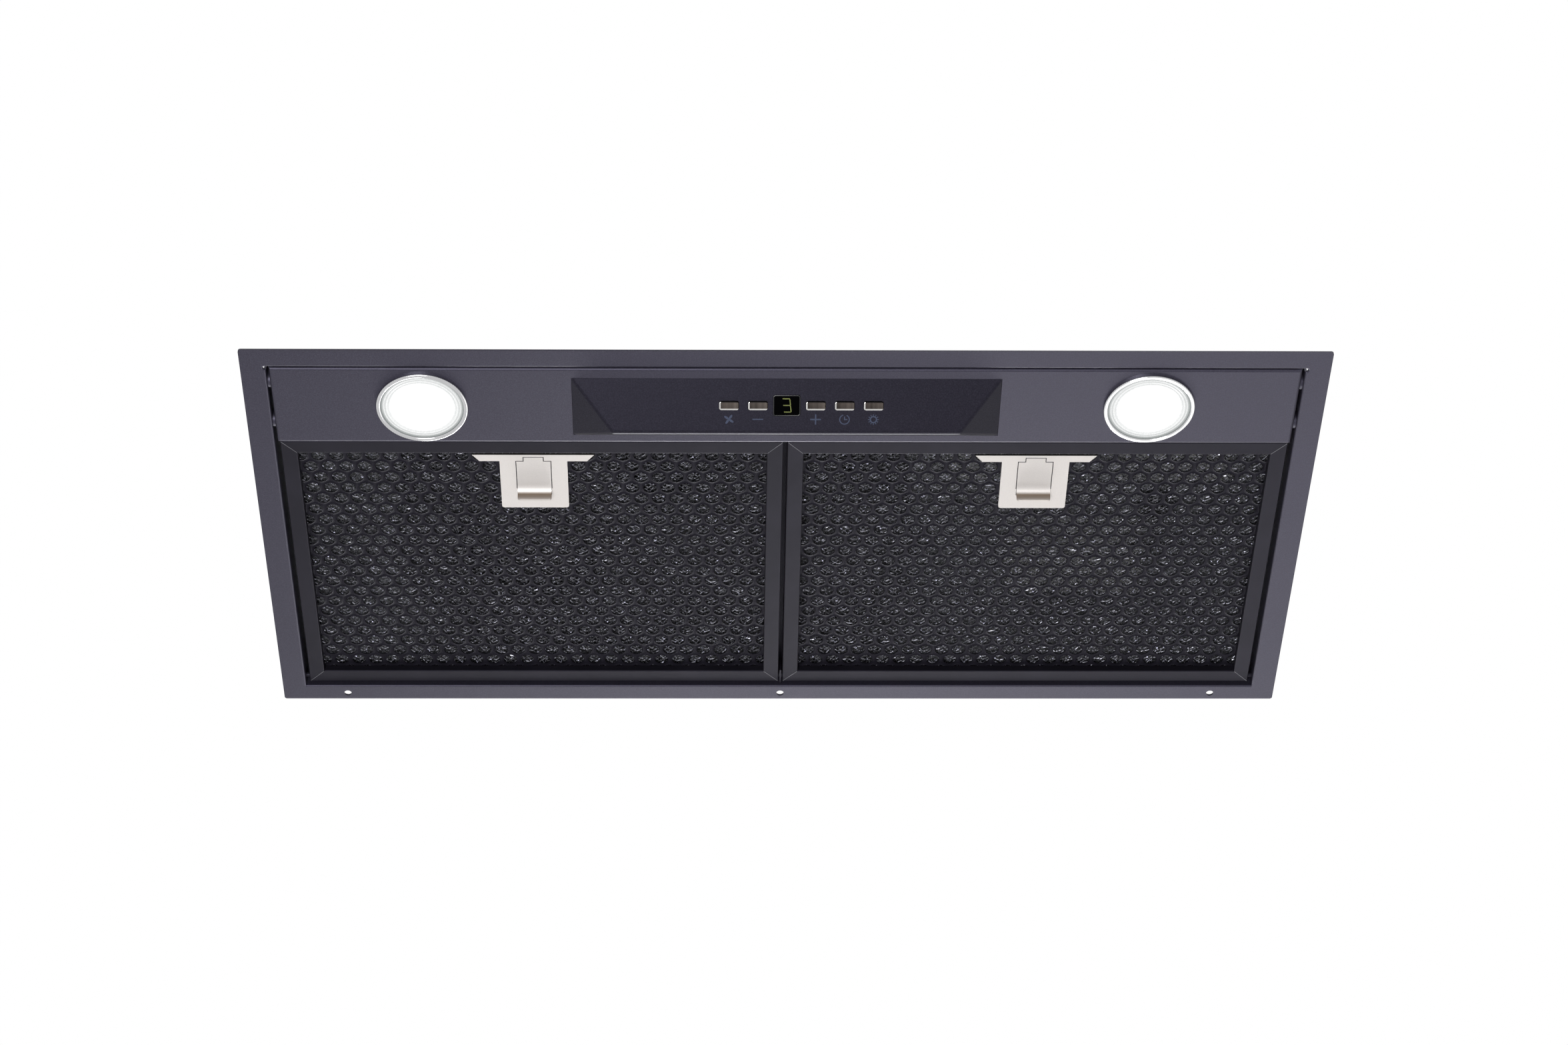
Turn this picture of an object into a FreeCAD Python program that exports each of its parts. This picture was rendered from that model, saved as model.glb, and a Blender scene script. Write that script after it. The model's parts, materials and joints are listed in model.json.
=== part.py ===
import FreeCAD, Part
import math
import os

from FreeCAD import Placement, Rotation, Vector

# Undermount range hood, in millimetres.
# The origin is the centre of the rim's upper face, which meets the cabinet.
# X points right for a person at the cooktop, Y to the wall and Z up.

# Shared clearances
overrun = 5.0
running_gap = 0.05
slide_gap = 0.15
free_gap = 0.3

# Rim
rim_width = 600.0
rim_depth = 287.0
rim_gauge = 1.2
rim_front = 12.3
rim_side = 14.0
rim_rear = 11.6
rim_corner_r = 1.5
rim_bend_r = 1.0
upstand_height = 30.0
front_upstand = 10.0
corner_relief = 3.4
relief_reach = 1.3
screw_hole_r = 2.25
screw_inset = 5.0
screw_side_inset = 38.5

# Casing of sheet steel
casing_gauge = 0.8
casing_bend_r = 2.0
casing_lip = 12.0
skirt_lift = 3.0
casing_slope = 45.0
plenum_bottom = 16.0
plenum_height = 70.0

# Lamp panel
panel_gauge = 1.0
panel_depth = 56.7
panel_front_gap = 1.0
panel_side_gap = 1.5
panel_bend_r = 1.6
dimple_r = 5.0
dimple_height = 5.0
dimple_side_inset = 114.5
dimple_pitch = 30.0

# Control housing, a hipped wedge
control_width = 237.6
control_depth = 43.3
control_front_inset = 7.2
control_front_pitch = 27.0
control_rear_pitch = 45.0
control_side_pitch = 32.2
control_wall = 2.0
control_edge_r = 3.2
control_flange = 3.2
control_flange_gauge = 2.0

# Controls on the wedge's front face
button_row = 15.4
button_pitch = 16.0
button_width = 10.9
button_height = 5.0
button_corner_r = 1.2
button_proud = 1.0
button_edge_r = 0.4
button_flange = 1.1
button_flange_gauge = 1.0
button_stem_r = 1.6
button_stem = 1.5
button_travel = 1.2
window_width = 15.0
window_height = 12.0
window_corner_r = 1.4
window_recess = 0.3
window_flange = 1.2
window_flange_gauge = 1.0
board_depth = 8.4
board_gauge = 1.6
board_width = 112.0
board_length = 24.0
board_offset = 8.0
board_post_r = 2.6
board_post_inset = 4.0
switch_size = 6.2
display_width = 10.4
display_length = 13.0

# Lamps
lamp_side_inset = 82.5
lamp_inset = 28.0
lens_r = 23.6
lens_gauge = 3.0
lens_dome = 0.5
bezel_lip = 0.6
bezel_lip_gauge = 1.0
bezel_flange = 1.1
bezel_drop = 2.0
bezel_round_r = 0.7
barrel_gauge = 0.7
barrel_height = 7.0
nut_width = 2.4
nut_height = 3.5
nut_notch = 6.0
can_height = 11.0
can_waist = 2.0
fin_gap = 2.4
fin_pitch = 6.0

# Grease filters
filter_gap = 2.4
filter_side_gap = 2.4
filter_front_gap = 1.3
filter_rear_gap = 2.1
filter_recess = 2.0
filter_thick = 9.5
rail_width = 9.2
frame_gauge = 0.8
frame_edge_r = 0.6
frame_corner_r = 1.0
sheet_recess = 4.4
sheet_gauge = 0.6
sheet_margin = 1.0
sheet_pitch = 16.8
sheet_hole = 12.8
sheet_hole_margin = 3.5
mitre_groove = 0.4
pivot_r = 1.5
pivot_inset = 3.0
pivot_rise = 2.7
pivot_grip = 6.0

# Filter latches
plate_gauge = 1.0
plate_drop = 1.2
plate_setback = 3.0
bar_width = 69.6
bar_depth = 5.3
bar_slant = 4.4
latch_width = 38.3
latch_length = 42.5
latch_corner_r = 1.5
slot_width = 19.6
slot_setback = 5.5
tab_width = 10.9
tab_length = 3.0
pad_length = 17.8
lip_r = 6.2
lip_gauge = 1.0
lip_corner_r = 1.5
latch_travel = 5.0
guide_overlap = 2.8
guide_gauge = 0.8
guide_length = 15.0
tongue_reach = 0.4
spring_gauge = 0.6
spring_strip = 1.0
spring_width = 16.0
spring_turns = 3

# Centre rail between the filters
rail_strap_width = 22.0
rail_strap_gauge = 1.2
rail_strap_gap = 1.1
rail_web = 1.2
rail_web_length = 12.0

# Blower, with an upright axis
wheel_x = -145.0
wheel_r = 58.0
wheel_top_gap = 5.2
wheel_lift = 5.0
blade_count = 28
blade_depth = 11.0
blade_gauge = 1.2
blade_lead = 14.0
blade_bow = 4.5
wheel_ring_gauge = 2.0
wheel_ring_lap = 0.5
wheel_web_rise = 12.0
wheel_web_gauge = 3.0
hub_r = 10.0
hub_depth = 10.0
shaft_r = 4.0
shaft_nose = 2.0
scroll_wall = 2.0
scroll_floor = 27.0
scroll_setback = 92.0
tongue_angle = 15.0
tongue_gap = 4.0
left_gap = 18.0
front_gap = 10.0
rear_gap = 27.0
scroll_flange = 8.0
chamber_margin = 0.5
inlet_r = 46.0
inlet_wall = 2.0
inlet_height = 3.5
bracket_r = 44.0
bracket_gauge = 2.5
motor_r = 34.0
motor_gap = 2.7
motor_bell = 6.0
motor_bell_r = 29.0
motor_groove = 2.0
capacitor_r = 16.0
capacitor_length = 48.0
capacitor_x = 112.0
capacitor_y = -22.0

# Duct collar with its non-return flaps
collar_r = 74.0
collar_wall = 2.5
collar_height = 36.0
collar_flange = 5.0
collar_flange_gauge = 3.0
ledge_width = 4.0
ledge_height = 2.5
ledge_rise = 6.0
flap_gauge = 1.6
flap_gap = 0.5
flap_pin_r = 2.0
flap_pin_rise = 2.8
knuckle_r = 4.0
knuckle_length = 20.0
knuckle_pitch = 48.0
knuckle_gap = 1.0
knuckle_lap = 1.0
pin_boss = 2.0

# Supply side
terminal_width = 72.0
terminal_depth = 50.0
terminal_height = 30.0
terminal_wall = 2.0
terminal_inset = 56.0
terminal_y = -15.0
driver_width = 82.0
driver_depth = 40.0
driver_height = 24.0
driver_edge_r = 2.0
driver_inset = 106.0
driver_y = 95.0
gland_inset = 56.0
gland_y = 60.0
gland_bore_r = 4.0
gland_thread_r = 8.0
gland_hex_r = 12.0
gland_hex_height = 6.0
gland_cap_r = 9.5
gland_cap_height = 11.0
gland_nut_height = 4.0

axis_x = Vector(1, 0, 0)
axis_y = Vector(0, 1, 0)
axis_z = Vector(0, 0, 1)

# Places that several pieces share
rim_half_width = rim_width / 2
rim_half_depth = rim_depth / 2
open_x = rim_half_width - rim_side
open_front = rim_front - rim_half_depth
open_rear = rim_half_depth - rim_rear
deck_z = plenum_bottom + plenum_height
deck_low = deck_z - casing_gauge
skirt_front = open_front - rim_gauge - casing_gauge
slope_run = (deck_z - front_upstand) / math.tan(math.radians(casing_slope))
deck_front = skirt_front + slope_run

panel_x = open_x - panel_side_gap
panel_front = open_front + panel_front_gap
panel_rear = panel_front + panel_depth
panel_low = -rim_gauge
panel_high = panel_low + panel_gauge
panel_top = front_upstand + panel_front_gap
lamp_x = panel_x - lamp_side_inset
lamp_y = panel_rear - lamp_inset
lamp_centre = Vector(lamp_x, lamp_y, 0)
lens_low = panel_low - bezel_drop + bezel_lip_gauge
lens_high = lens_low + lens_gauge
barrel_bore_r = lens_r + running_gap
barrel_r = barrel_bore_r + barrel_gauge
control_front = panel_front + control_front_inset
control_rear = control_front + control_depth
front_slope = math.radians(control_front_pitch)
face_place = Placement(Vector(0, control_front, panel_low), Rotation(axis_x, -control_front_pitch))

filter_x0 = filter_gap / 2
filter_x1 = open_x - filter_side_gap
filter_x = (filter_x0 + filter_x1) / 2
filter_front = panel_rear + filter_front_gap
filter_rear = open_rear - filter_rear_gap
filter_low = filter_recess - rim_gauge
filter_high = filter_low + filter_thick
sheet_low = filter_low + sheet_recess
sheet_high = sheet_low + sheet_gauge
back_low = filter_high - frame_gauge - sheet_gauge
pivot_y = filter_rear - pivot_inset
pivot_z = filter_low + pivot_rise

plate_low = sheet_low - plate_drop - plate_gauge
plate_high = plate_low + plate_gauge
bar_front = filter_front + rail_width + plate_setback
bar_rear = bar_front + bar_depth
latch_rear = bar_front + latch_length
slot_front = bar_front + slot_setback
pad_rear = slot_front + pad_length
lip_outer_r = lip_r + lip_gauge
lip_back = pad_rear + math.sqrt(lip_outer_r ** 2 - lip_r ** 2)
slot_rear = lip_back + latch_travel + free_gap
guide_low = plate_high + running_gap
guide_high = guide_low + guide_gauge
tongue_front = filter_front - tongue_reach

wheel_y = deck_front + scroll_setback
wheel_low = scroll_floor + scroll_wall + wheel_lift
wheel_high = deck_low - wheel_top_gap
web_high = wheel_low + wheel_web_rise + wheel_web_gauge
throat_front = wheel_y - (wheel_r + tongue_gap) * math.sin(math.radians(tongue_angle))
throat_rear = wheel_y + wheel_r + rear_gap
collar_bore_r = collar_r - collar_wall
chamber_r = collar_bore_r + chamber_margin
collar_y = throat_rear - chamber_r
motor_high = deck_low - bracket_gauge
motor_low = web_high + motor_gap
ledge_z = deck_z + ledge_rise
flap_z = ledge_z + ledge_height + free_gap
flap_pin_z = flap_z + flap_pin_rise
terminal_x = open_x - terminal_inset
driver_x = open_x - driver_inset
gland_x = open_x - gland_inset


# Small helpers
def slab(x0, x1, y0, y1, z0, z1):
    return Part.makeBox(x1 - x0, y1 - y0, z1 - z0, Vector(x0, y0, z0))


def edges_along(shape, axis):
    found = []
    for edge in shape.Edges:
        if not isinstance(edge.Curve, Part.Line):
            continue
        if abs(abs(edge.tangentAt(edge.FirstParameter).dot(axis)) - 1) < 1e-6:
            found.append(edge)
    return found


def rounded_slab(x0, x1, y0, y1, z0, z1, radius):
    block = slab(x0, x1, y0, y1, z0, z1)
    return block.makeFillet(radius, edges_along(block, axis_z))


def loop_face(points):
    return Part.Face(Part.makePolygon(points + points[:1]))


def section(outline, x0, x1):
    points = [Vector(x0, y, z) for y, z in outline]
    return loop_face(points).extrude(Vector(x1 - x0, 0, 0))


def turned(outline, centre):
    points = [Vector(r, 0, z) for r, z in outline]
    solid = loop_face(points).revolve(Vector(), axis_z, 360)
    solid.translate(centre)
    return solid


def cross_rod(radius, x0, x1, y, z):
    return Part.makeCylinder(radius, x1 - x0, Vector(x0, y, z), axis_x)


def upright(radius, x, y, z0, z1):
    return Part.makeCylinder(radius, z1 - z0, Vector(x, y, z0), axis_z)


def mirrored(shape):
    return shape.mirror(Vector(), axis_x)


def save(name, shape):
    shape.removeSplitter().exportStep(os.path.join("parts", name + ".step"))


def save_pair(name, right):
    save(name + "_right", right)
    save(name + "_left", mirrored(right))


# Rim with folded up-stands, relieved at the corners of its opening
def canopy_rim():
    rim = rounded_slab(-rim_half_width, rim_half_width, -rim_half_depth, rim_half_depth,
                       -rim_gauge, 0, rim_corner_r)
    walls = []
    rear_outer = open_rear + rim_gauge
    for inner, outer in ((open_x, open_x + rim_gauge), (-open_x - rim_gauge, -open_x)):
        walls.append(slab(inner, outer, open_front + corner_relief, rear_outer, -rim_gauge, upstand_height))
    walls.append(slab(corner_relief - open_x, open_x - corner_relief, open_front - rim_gauge, open_front,
                      -rim_gauge, front_upstand - casing_gauge))
    walls.append(slab(-open_x, open_x, open_rear, rear_outer, -rim_gauge, upstand_height))
    over_slope = [(skirt_front, front_upstand), (deck_front, deck_z), (skirt_front, deck_z)]
    cuts = [section(over_slope, -rim_half_width, rim_half_width),
            slab(-open_x, open_x, open_front, open_rear, -rim_gauge - overrun, upstand_height + overrun)]
    for side in (-1, 1):
        relief = upright(relief_reach, side * open_x, open_front + relief_reach,
                         -rim_gauge - overrun, overrun)
        cuts.append(relief)
        cuts.append(cross_rod(pivot_r + running_gap, side * open_x - overrun, side * open_x + overrun,
                              pivot_y, pivot_z))
    screw_x = rim_half_width - screw_side_inset
    for x in (-screw_x, 0, screw_x):
        cuts.append(upright(screw_hole_r, x, rim_half_depth - screw_inset, -rim_gauge - overrun, overrun))
    rim = rim.multiFuse(walls).cut(cuts).removeSplitter()
    bends = []
    for edge in edges_along(rim, axis_x) + edges_along(rim, axis_y):
        box = edge.BoundBox
        inside = max(abs(box.XMin), abs(box.XMax)) < open_x + free_gap
        inside = inside and box.YMin > open_front - free_gap and box.YMax < open_rear + free_gap
        if inside and box.ZMax < free_gap - rim_gauge:
            bends.append(edge)
    return rim.makeFillet(rim_bend_r, bends)


# Casing: a wrapper folded over a sloped front, closed by two end plates
def casing_outline(inset):
    low_lean = inset * math.tan(math.radians(90 - casing_slope) / 2)
    high_lean = inset * math.tan(math.radians(casing_slope) / 2)
    return [(skirt_front + inset, skirt_lift), (skirt_front + inset, front_upstand - low_lean),
            (deck_front + high_lean, deck_z - inset), (open_rear - inset, deck_z - inset)]


def plenum_wrapper():
    reach = open_x - casing_gauge
    outer = casing_outline(0)
    inner = casing_outline(casing_gauge)
    tail = [(open_rear, plenum_bottom), (open_rear - casing_gauge, plenum_bottom)]
    shell = section(outer + tail + inner[::-1], -reach, reach)
    creases = []
    for edge in edges_along(shell, axis_x):
        point = edge.Vertexes[0].Point
        if abs(point.z - deck_z) < casing_gauge / 2:
            creases.append(edge)
    shell = shell.makeFillet(casing_bend_r, creases)
    outlet = upright(collar_bore_r, 0, collar_y, deck_low - overrun, deck_z + overrun)
    gland = upright(gland_thread_r + slide_gap, gland_x, gland_y, deck_low - overrun, deck_z + overrun)
    return shell.cut([outlet, gland])


def plenum_end():
    inner_x = open_x - casing_gauge
    plate = section(casing_outline(0) + [(open_rear, 0)], inner_x, open_x)
    plate = plate.cut(slab(inner_x - overrun, open_x + overrun, skirt_front - overrun, open_rear + overrun,
                           -overrun, plenum_bottom))
    band = section(casing_outline(casing_gauge) + [(open_rear - casing_gauge, 0)],
                   inner_x - casing_lip, inner_x)
    core = section(casing_outline(2 * casing_gauge) + [(open_rear - 2 * casing_gauge, 0)],
                   inner_x - casing_lip - overrun, inner_x)
    below = slab(inner_x - casing_lip - overrun, open_x, skirt_front, open_rear, -overrun, plenum_bottom)
    lip = band.cut([core, below])
    return plate.fuse(lip)


# Lamp panel: a folded pan with lamp holes, the control opening and latch keepers
def lamp_panel():
    pan = slab(-panel_x, panel_x, panel_front, panel_rear, panel_low, panel_top)
    rims = [edge for edge in pan.Edges if edge.BoundBox.ZMax < panel_low + free_gap]
    pan = pan.makeFillet(panel_bend_r, rims)
    pan = pan.cut(slab(panel_gauge - panel_x, panel_x - panel_gauge, panel_front + panel_gauge,
                       panel_rear - panel_gauge, panel_high, panel_top + overrun))
    cuts = [slab(-control_width / 2 - slide_gap, control_width / 2 + slide_gap,
                 control_front - slide_gap, control_rear + slide_gap,
                 panel_low - overrun, panel_high + overrun)]
    studs = []
    dimple_x = panel_x - dimple_side_inset
    for side in (-1, 1):
        cuts.append(upright(barrel_r + slide_gap, side * lamp_x, lamp_y, panel_low - overrun,
                            panel_high + overrun))
        keeper = tab_width / 2 + free_gap
        cuts.append(slab(side * filter_x - keeper, side * filter_x + keeper, panel_rear - overrun,
                         panel_rear + overrun, guide_low - free_gap, guide_high + free_gap))
        ends = sorted((side * panel_x, side * open_x))
        for row in (-1, 1):
            y = (panel_front + panel_rear + row * dimple_pitch) / 2
            studs.append(cross_rod(dimple_r, ends[0], ends[1], y, dimple_height))
        studs.append(Part.makeCylinder(dimple_r, panel_front_gap,
                                       Vector(side * dimple_x, open_front, dimple_height), axis_y))
    return pan.cut(cuts).multiFuse(studs)


# Control housing: a hollow wedge hung from a flange on the lamp panel
def hipped(half_x, front, rear, base_z):
    drop = (rear - front) / (1 / math.tan(front_slope) + 1 / math.tan(math.radians(control_rear_pitch)))
    ridge_y = front + drop / math.tan(front_slope)
    ridge_x = half_x - drop / math.tan(math.radians(control_side_pitch))
    base = [Vector(-half_x, front, base_z), Vector(half_x, front, base_z),
            Vector(half_x, rear, base_z), Vector(-half_x, rear, base_z)]
    ridge = [Vector(-ridge_x, ridge_y, base_z - drop), Vector(ridge_x, ridge_y, base_z - drop)]
    faces = [loop_face(base), loop_face([base[0], base[1], ridge[1], ridge[0]]),
             loop_face([base[2], base[3], ridge[0], ridge[1]]),
             loop_face([base[1], base[2], ridge[1]]), loop_face([base[3], base[0], ridge[0]])]
    return Part.Solid(Part.Shell(faces))


def on_face(shape):
    shape.Placement = face_place.multiply(shape.Placement)
    return shape


def face_slab(x, half_width, half_height, depth0, depth1, radius):
    return rounded_slab(x - half_width, x + half_width, button_row - half_height, button_row + half_height,
                        depth0, depth1, radius)


def button_places():
    return {"fan": -2 * button_pitch, "minus": -button_pitch, "plus": button_pitch,
            "timer": 2 * button_pitch, "light": 3 * button_pitch}


def post_places():
    left = board_offset - board_width / 2 + board_post_inset
    right = board_offset + board_width / 2 - board_post_inset
    low = button_row - board_length / 2 + board_post_inset
    high = button_row + board_length / 2 - board_post_inset
    return [(left, low), (left, high), (right, low), (right, high)]


def control_housing():
    half_x = control_width / 2
    wedge = hipped(half_x, control_front, control_rear, panel_low)
    creases = [edge for edge in wedge.Edges if edge.BoundBox.ZMin < panel_low - control_wall]
    wedge = wedge.makeFillet(control_edge_r, creases)
    neck = slab(-half_x, half_x, control_front, control_rear, panel_low, panel_high)
    flange = slab(-half_x - control_flange, half_x + control_flange, control_front - control_flange,
                  control_rear + control_flange, panel_high, panel_high + control_flange_gauge)
    inset_front = control_wall / math.sin(front_slope)
    inset_rear = control_wall / math.sin(math.radians(control_rear_pitch))
    inset_side = control_wall / math.sin(math.radians(control_side_pitch))
    hollow = hipped(half_x - inset_side, control_front + inset_front, control_rear - inset_rear, panel_low)
    shaft = slab(inset_side - half_x, half_x - inset_side, control_front + inset_front,
                 control_rear - inset_rear, panel_low, panel_high + control_flange_gauge + overrun)
    posts = [on_face(upright(board_post_r, x, y, control_wall / 2, board_depth)) for x, y in post_places()]
    cuts = []
    for x in button_places().values():
        cuts.append(on_face(face_slab(x, button_width / 2 + slide_gap, button_height / 2 + slide_gap,
                                      -overrun, control_wall + overrun, button_corner_r + slide_gap)))
    cuts.append(on_face(face_slab(0, window_width / 2 + slide_gap, window_height / 2 + slide_gap,
                                  -overrun, control_wall + overrun, window_corner_r + slide_gap)))
    shell = wedge.multiFuse([neck, flange]).cut([hollow, shaft])
    return shell.multiFuse(posts).cut(cuts)


def push_button(x):
    flange_low = control_wall + slide_gap
    flange_high = flange_low + button_flange_gauge
    cap = face_slab(x, button_width / 2, button_height / 2, -button_proud, flange_high, button_corner_r)
    rim = [edge for edge in cap.Edges if edge.BoundBox.ZMax < free_gap - button_proud]
    cap = cap.makeFillet(button_edge_r, rim)
    flange = face_slab(x, button_width / 2 + button_flange, button_height / 2 + button_flange,
                       flange_low, flange_high, button_corner_r)
    stem = upright(button_stem_r, x, button_row, flange_high, flange_high + button_stem)
    return on_face(cap.multiFuse([flange, stem]))


def display_window():
    pane = face_slab(0, window_width / 2, window_height / 2, window_recess, control_wall, window_corner_r)
    flange = face_slab(0, window_width / 2 + window_flange, window_height / 2 + window_flange,
                       control_wall, control_wall + window_flange_gauge, window_corner_r)
    return on_face(pane.fuse(flange))


def control_board():
    return on_face(slab(board_offset - board_width / 2, board_offset + board_width / 2,
                        button_row - board_length / 2, button_row + board_length / 2,
                        board_depth, board_depth + board_gauge))


def tact_switches():
    travel_end = control_wall + slide_gap + button_flange_gauge + button_stem + button_travel
    half = switch_size / 2
    blocks = [on_face(slab(x - half, x + half, button_row - half, button_row + half,
                           travel_end + free_gap, board_depth)) for x in button_places().values()]
    return Part.makeCompound(blocks)


def display_module():
    return on_face(slab(-display_width / 2, display_width / 2, button_row - display_length / 2,
                        button_row + display_length / 2,
                        control_wall + window_flange_gauge + slide_gap, board_depth))


# Lamps: bezel from below, ring nut from above, lens and heat sink in the barrel
def lamp_bezel():
    low = panel_low - bezel_drop
    outer_r = barrel_r + bezel_flange
    inner_r = lens_r - bezel_lip
    ring = turned([(inner_r, low), (outer_r, low), (outer_r, panel_low), (barrel_r, panel_low),
                   (barrel_r, barrel_height), (barrel_bore_r, barrel_height),
                   (barrel_bore_r, lens_low), (inner_r, lens_low)], lamp_centre)
    rims = [edge for edge in ring.Edges if edge.BoundBox.ZMax < low + free_gap and edge.Closed]
    return ring.makeFillet(bezel_round_r, rims)


def lamp_lens():
    dome_r = lens_r - bezel_lip - slide_gap
    arc = Part.Arc(Vector(-dome_r, 0, lens_low), Vector(0, 0, lens_low - lens_dome),
                   Vector(dome_r, 0, lens_low)).toShape()
    ball_r = arc.Curve.Radius
    ball = Part.makeSphere(ball_r, Vector(0, 0, lens_low - lens_dome + ball_r))
    dome = ball.common(upright(dome_r, 0, 0, lens_low - lens_dome - overrun, lens_low))
    lens = upright(lens_r, 0, 0, lens_low, lens_high).fuse(dome)
    lens.translate(lamp_centre)
    return lens


def lamp_can():
    top = lens_high + can_height
    can = turned([(0, lens_high), (lens_r, lens_high), (lens_r, barrel_height),
                  (lens_r - can_waist, barrel_height), (lens_r - can_waist, top), (0, top)], lamp_centre)
    cuts = []
    count = math.floor((lens_r - can_waist) / fin_pitch)
    for step in range(-count, count + 1):
        x = lamp_x + step * fin_pitch
        cuts.append(slab(x - fin_gap / 2, x + fin_gap / 2, lamp_y - barrel_r, lamp_y + barrel_r,
                         barrel_height + fin_gap, top + overrun))
    return can.cut(cuts)


def lamp_nut():
    inner_r = barrel_r + running_gap
    outer_r = inner_r + nut_width
    nut = turned([(inner_r, panel_high), (outer_r, panel_high), (outer_r, panel_high + nut_height),
                  (inner_r, panel_high + nut_height)], lamp_centre)
    notch = slab(outer_r - nut_width / 2, outer_r + overrun, -nut_notch / 2, nut_notch / 2,
                 panel_high, panel_high + nut_height + overrun)
    notches = []
    for step in range(6):
        turn = notch.rotated(Vector(), axis_z, step * 60)
        turn.translate(lamp_centre)
        notches.append(turn)
    return nut.cut(notches)


# Grease filter, drawn for the right-hand side
def filter_frame():
    frame = rounded_slab(filter_x0, filter_x1, filter_front, filter_rear, filter_low, filter_high,
                         frame_corner_r)
    window = slab(filter_x0 + rail_width, filter_x1 - rail_width, filter_front + rail_width,
                  filter_rear - rail_width, filter_low - overrun, filter_high + overrun)
    frame = frame.cut(window)
    rims = [edge for edge in frame.Edges if edge.BoundBox.ZMax < filter_low + free_gap]
    frame = frame.makeFillet(frame_edge_r, rims)
    channel = slab(filter_x0 + frame_gauge, filter_x1 - frame_gauge, filter_front + frame_gauge,
                   filter_rear - frame_gauge, sheet_low, filter_high - frame_gauge)
    lip = rail_width - frame_gauge
    trough = slab(filter_x0 + frame_gauge, filter_x1 - frame_gauge, filter_front + frame_gauge,
                  filter_rear - frame_gauge, filter_low + frame_gauge, sheet_low)
    trough = trough.cut(slab(filter_x0 + lip, filter_x1 - lip, filter_front + lip, filter_rear - lip,
                             filter_low, sheet_high))
    cuts = [channel, trough, tongue_slot()]
    cuts.append(cross_rod(pivot_r, filter_x0 - overrun, filter_x0 + frame_gauge, pivot_y, pivot_z))
    cuts.append(cross_rod(pivot_r, filter_x1 - frame_gauge, filter_x1 + overrun, pivot_y, pivot_z))
    reach = rail_width * math.sqrt(2) / 2 + overrun
    groove = slab(-reach, reach, -mitre_groove / 2, mitre_groove / 2,
                  filter_low - overrun, filter_low + mitre_groove)
    half = rail_width / 2
    for x, across in ((filter_x0 + half, 45), (filter_x1 - half, -45)):
        for y, along in ((filter_front + half, 1), (filter_rear - half, -1)):
            mark = groove.rotated(Vector(), axis_z, across * along)
            mark.translate(Vector(x, y, 0))
            cuts.append(mark)
    return frame.cut(cuts)


def tongue_slot():
    half = tab_width / 2 + free_gap
    return slab(filter_x - half, filter_x + half, filter_front - overrun, bar_front,
                guide_low - free_gap, sheet_low)


def pack_layer(low, high):
    inset = frame_gauge + sheet_margin
    return slab(filter_x0 + inset, filter_x1 - inset, filter_front + inset, filter_rear - inset, low, high)


def hole_centres():
    margin = rail_width + sheet_hole_margin + sheet_hole / 2
    row_step = sheet_pitch * math.sqrt(3) / 2
    across = math.floor((filter_x1 - filter_x0 - 2 * margin) / sheet_pitch)
    along = math.floor((filter_rear - filter_front - 2 * margin) / row_step)
    centre_y = (filter_front + filter_rear) / 2
    places = []
    for row in range(along + 1):
        short = row % 2
        for column in range(across + 1 - short):
            places.append(Vector(filter_x + (column - (across - short) / 2) * sheet_pitch,
                                 centre_y + (row - along / 2) * row_step, sheet_low))
    return places


def face_sheet():
    inset = frame_gauge + sheet_margin
    corners = [Vector(filter_x0 + inset, filter_front + inset, sheet_low),
               Vector(filter_x1 - inset, filter_front + inset, sheet_low),
               Vector(filter_x1 - inset, filter_rear - inset, sheet_low),
               Vector(filter_x0 + inset, filter_rear - inset, sheet_low)]
    spokes = [Vector(math.cos(math.radians(60 * k + 30)), math.sin(math.radians(60 * k + 30)), 0)
              for k in range(6)]
    wires = [Part.makePolygon(corners + corners[:1])]
    for centre in hole_centres():
        ring = [centre + spoke * (sheet_hole / 2) for spoke in spokes]
        wires.append(Part.makePolygon(ring + ring[:1]))
    return Part.Face(wires).extrude(Vector(0, 0, sheet_gauge))


def pivot_pins():
    outer = cross_rod(pivot_r, filter_x1 - pivot_grip, open_x + rim_gauge, pivot_y, pivot_z)
    inner = cross_rod(pivot_r, running_gap, filter_x0 + pivot_grip, pivot_y, pivot_z)
    return Part.makeCompound([outer, inner])


# Latch
def latch_plate():
    half_bar = bar_width / 2
    half = latch_width / 2
    outline = [(-half_bar, bar_front), (half_bar, bar_front), (half_bar - bar_slant, bar_rear),
               (half, bar_rear), (half, latch_rear), (-half, latch_rear), (-half, bar_rear),
               (bar_slant - half_bar, bar_rear)]
    points = [Vector(filter_x + x, y, plate_low) for x, y in outline]
    plate = loop_face(points).extrude(Vector(0, 0, plate_gauge))
    tails = [edge for edge in edges_along(plate, axis_z) if edge.BoundBox.YMin > latch_rear - free_gap]
    plate = plate.makeFillet(latch_corner_r, tails)
    folds = [slab(filter_x - half, filter_x - half + plate_gauge, bar_rear, latch_rear - latch_corner_r,
                  plate_low, sheet_low),
             slab(filter_x + half - plate_gauge, filter_x + half, bar_rear, latch_rear - latch_corner_r,
                  plate_low, sheet_low),
             slab(filter_x - half + latch_corner_r, filter_x + half - latch_corner_r,
                  latch_rear - plate_gauge, latch_rear, plate_low, sheet_low)]
    half_slot = slot_width / 2
    half_tab = tab_width / 2 + slide_gap
    window = slab(filter_x - half_slot, filter_x + half_slot, slot_front, slot_rear,
                  plate_low - overrun, plate_high + overrun)
    notch = slab(filter_x - half_tab, filter_x + half_tab, slot_front - tab_length - slide_gap, slot_front,
                 plate_low - overrun, plate_high + overrun)
    return plate.multiFuse(folds).cut([window, notch])


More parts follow.
